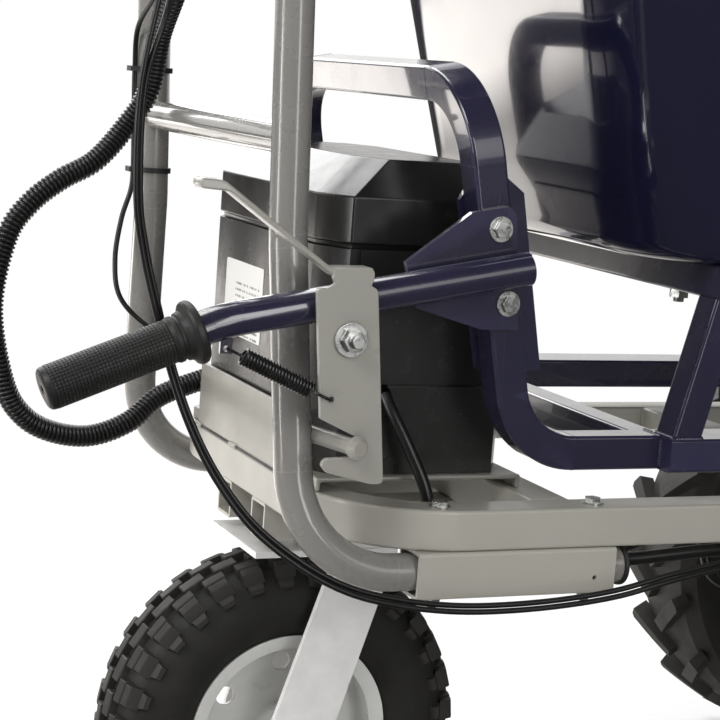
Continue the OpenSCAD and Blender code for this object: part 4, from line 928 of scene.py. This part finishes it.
def caster_tyre():
    """The casing with six rows of tread blocks and a row of blocks on each shoulder."""
    def crown(y):
        return CASTER_RADIUS - 0.0052 * y * y

    parts = [caster_casing()]
    step = 2 * math.pi / BLOCKS_AROUND
    # Each row: from y, to y, share of a step it is turned by, half width in radians, height
    rows = [(-15.5, -2.2, 0.0, 0.066, 8.6), (2.2, 15.5, 0.5, 0.066, 8.6), (-28.6, -18.6, 0.5, 0.062, 8.2),
            (18.6, 28.6, 0.0, 0.062, 8.2), (-38.5, -29.8, 0.5, 0.056, 7.6), (29.8, 38.5, 0.0, 0.056, 7.6)]
    for y0, y1, phase, half, height in rows:
        for i in range(BLOCKS_AROUND):
            verts, faces = block((i + phase) * step, half, y0, y1, crown, height)
            parts.append(([on_caster(*v) for v in verts], faces))
    for side, phase in ((-1, 0.5), (1, 0.0)):
        for i in range(BLOCKS_AROUND):
            parts.append(side_block((i + phase) * step, side))
    raw_piece("caster_tyre_rubber", *join(parts), NODE_BODY["caster_tyre"], NODE_SLOT["caster_tyre"],
              TYRE_BLACK, ["caster_tyre"], 35)


caster_tyre()


# Nodes that keep their solid: material, how far the edges are eased in mm, and names

EASED = [
    (GREY, 1.6, ["chassis_frame", "crossmembers", "handlebar_sockets", "axle_mounts", "hinge_brackets"]),
    (TRAY_GREY_PAINTED_SHADE, 1.6, ["battery_tray", "battery_retainer"]),
    (LATCH_GREY, 0.8, ["latch_pin"]),
    (POST_GREY, 0.0, ["handlebar_frame"]),
    (NAVY, 1.6, ["tub_main_frame", "tub_hoop"]),
    (NAVY, 0.8, ["lever_clamp_plate"]),
    (TUB_NAVY, 0.0, ["tub_rim"]),
    (CASE_BLACK, 2.0, ["battery_case"]),
    (LID_BLACK, 2.5, ["battery_lid"]),
    (TRIM_BLACK, 2.0, ["console_housing"]),
    (TRIM_BLACK, 0.8, ["brake_perches", "cable_ties", "socket_caps", "rest_pads"]),
    (CELL_GREY, 2.0, ["battery_cells"]),
    (SWITCH_RED, 0.8, ["direction_switch"]),
    (ZINC, 0.5, ["socket_bolts", "lever_bolts", "latch_bolt", "tub_bolts", "caster_bolts", "caster_axle",
                 "hinge_pins", "key_switch", "left_brake_lever", "right_brake_lever", "brake_backplates"]),
    (FORK_ZINC_PAINTED_LIGHT, 1.0, ["caster_fork", "caster_mount"]),
    (CAST_DARK, 1.5, ["axle_housing", "drive_motor", "controller", "left_hub", "right_hub"]),
    (RIM_PAINT, 1.0, ["left_rim", "right_rim", "caster_rim"]),
    (FRONT_TYRE_PAINTED_LIGHT, 2.0, ["left_tyre", "right_tyre"]),
]
for material, edge, names in EASED:
    for node in names:
        dress(node, material, edge)


def draw_in_lever(bm):
    """Draws the lever's front end back along its tube."""
    end_from, drawn = 190.5, 9
    back = (on_lever(LEVER_BEND) - on_lever(LEVER_FRONT)).normalized() * drawn * MM
    for v in bm.verts:
        if v.co.x > at(end_from, 0, 0).x:
            v.co += back


dress("tipping_lever", NAVY, 1.2, change=draw_in_lever)


# Floor, world and lamps

def stage_floor():
    """A wide white floor that keeps a soft shadow near the buggy and fades to plain white further out.

    In the buggy's gloss it shows as a sheet that is bright behind, brightest in one patch, and dark in front.
    """
    size = 40.0
    corners = [(-size, -size, 0), (size, -size, 0), (size, size, 0), (-size, size, 0)]
    mesh = bpy.data.meshes.new("floor")
    mesh.from_pydata(corners, [], [(0, 1, 2, 3)])
    floor = bpy.data.objects.new("floor", mesh)
    scene.collection.objects.link(floor)
    floor.location.z = -0.0005
    s = Shader("floor")
    s.set(Base_Color=rgb(0.82, 0.82, 0.82), Roughness=0.9, Specular_IOR_Level=0.0)
    rays = s.add("ShaderNodeLightPath")

    def distance_from(spot):
        node = s.add("ShaderNodeVectorMath", Vector=s.place)
        node.operation = "DISTANCE"
        node.inputs[1].default_value = spot
        return node.outputs["Value"]

    far = s.spread(distance_from((0.0, 0.0, 0.0)), low=0.55, high=1.0, start=0.7, end=2.6)
    white = s.add("ShaderNodeEmission", Color=rgb(1.0, 1.0, 1.0), Strength=1.0)
    seen = s.mix_shaders(s.maths("MULTIPLY", far, rays.outputs["Is Camera Ray"]), s.bsdf, white)
    broad = s.spread(distance_from((-0.45, 2.1, 0.0)), low=2.1, high=0.07, start=0.8, end=2.2)
    patch = s.spread(distance_from((-2.3, 4.3, 0.0)), low=4.5, high=0.0, start=0.9, end=1.6)
    sheet = s.add("ShaderNodeEmission", Color=rgb(1.0, 0.95, 0.9), Strength=s.maths("ADD", broad, patch))
    s.show("Material Output", s.mix_shaders(rays.outputs["Is Glossy Ray"], seen, sheet))
    mesh.materials.append(s.mat)


def light_world():
    """White to the camera; to the buggy a bright backdrop behind it and a dim room in front."""
    world = bpy.data.worlds.new("studio")
    scene.world = world
    world.use_nodes = True
    nodes = NodeTree(world.node_tree)
    fill = nodes.tree.nodes["Background"]
    fill.inputs["Color"].default_value = rgb(1.0, 0.985, 0.965)
    fill.inputs["Strength"].default_value = 0.33
    way = nodes.add("ShaderNodeTexCoord").outputs["Generated"]
    facing = nodes.add("ShaderNodeSeparateXYZ", Vector=way)
    behind = nodes.add("ShaderNodeMapRange", Value=facing.outputs["Y"], From_Min=0.5, From_Max=0.9,
                       To_Min=0.05, To_Max=1.0)
    room = nodes.add("ShaderNodeBackground", Color=rgb(1.0, 0.99, 0.975), Strength=behind.outputs["Result"])
    white = nodes.add("ShaderNodeBackground", Color=rgb(1.0, 1.0, 1.0), Strength=1.0)
    rays = nodes.add("ShaderNodeLightPath")
    lit = nodes.mix_shaders(rays.outputs["Is Glossy Ray"], fill, room)
    nodes.show("World Output", nodes.mix_shaders(rays.outputs["Is Camera Ray"], lit, white))


def lamp(name, place, aim, size, watts):
    """A soft box at a place in metres, turned towards its aim."""
    data = bpy.data.lights.new(name, "AREA")
    data.shape = "RECTANGLE"
    data.size, data.size_y = size
    data.energy = watts
    obj = bpy.data.objects.new(name, data)
    scene.collection.objects.link(obj)
    obj.location = place
    obj.rotation_mode = "QUATERNION"
    obj.rotation_quaternion = (Vector(aim) - Vector(place)).to_track_quat("-Z", "Y")


stage_floor()
light_world()
lamp("top", (0.0, 1.3, 3.0), (0.0, 0.1, 0.4), (2.6, 1.8), 80)
lamp("left_box", (-2.85, -0.2, 1.15), (-0.4, -0.1, 0.5), (0.6, 2.0), 34)
lamp("right_box", (0.2, -2.8, 1.2), (-0.2, 0.0, 0.5), (0.5, 2.0), 15)
lamp("back_box", (-0.8, 2.9, 2.0), (-0.3, 0.0, 0.6), (3.0, 1.4), 52)
lamp("key", (-2.2, -1.4, 2.6), (-0.2, 0.0, 0.5), (1.2, 1.2), 36)
lamp("front", (0.8, -4.2, 1.9), (0.0, 0.0, 0.5), (3.4, 1.6), 25)
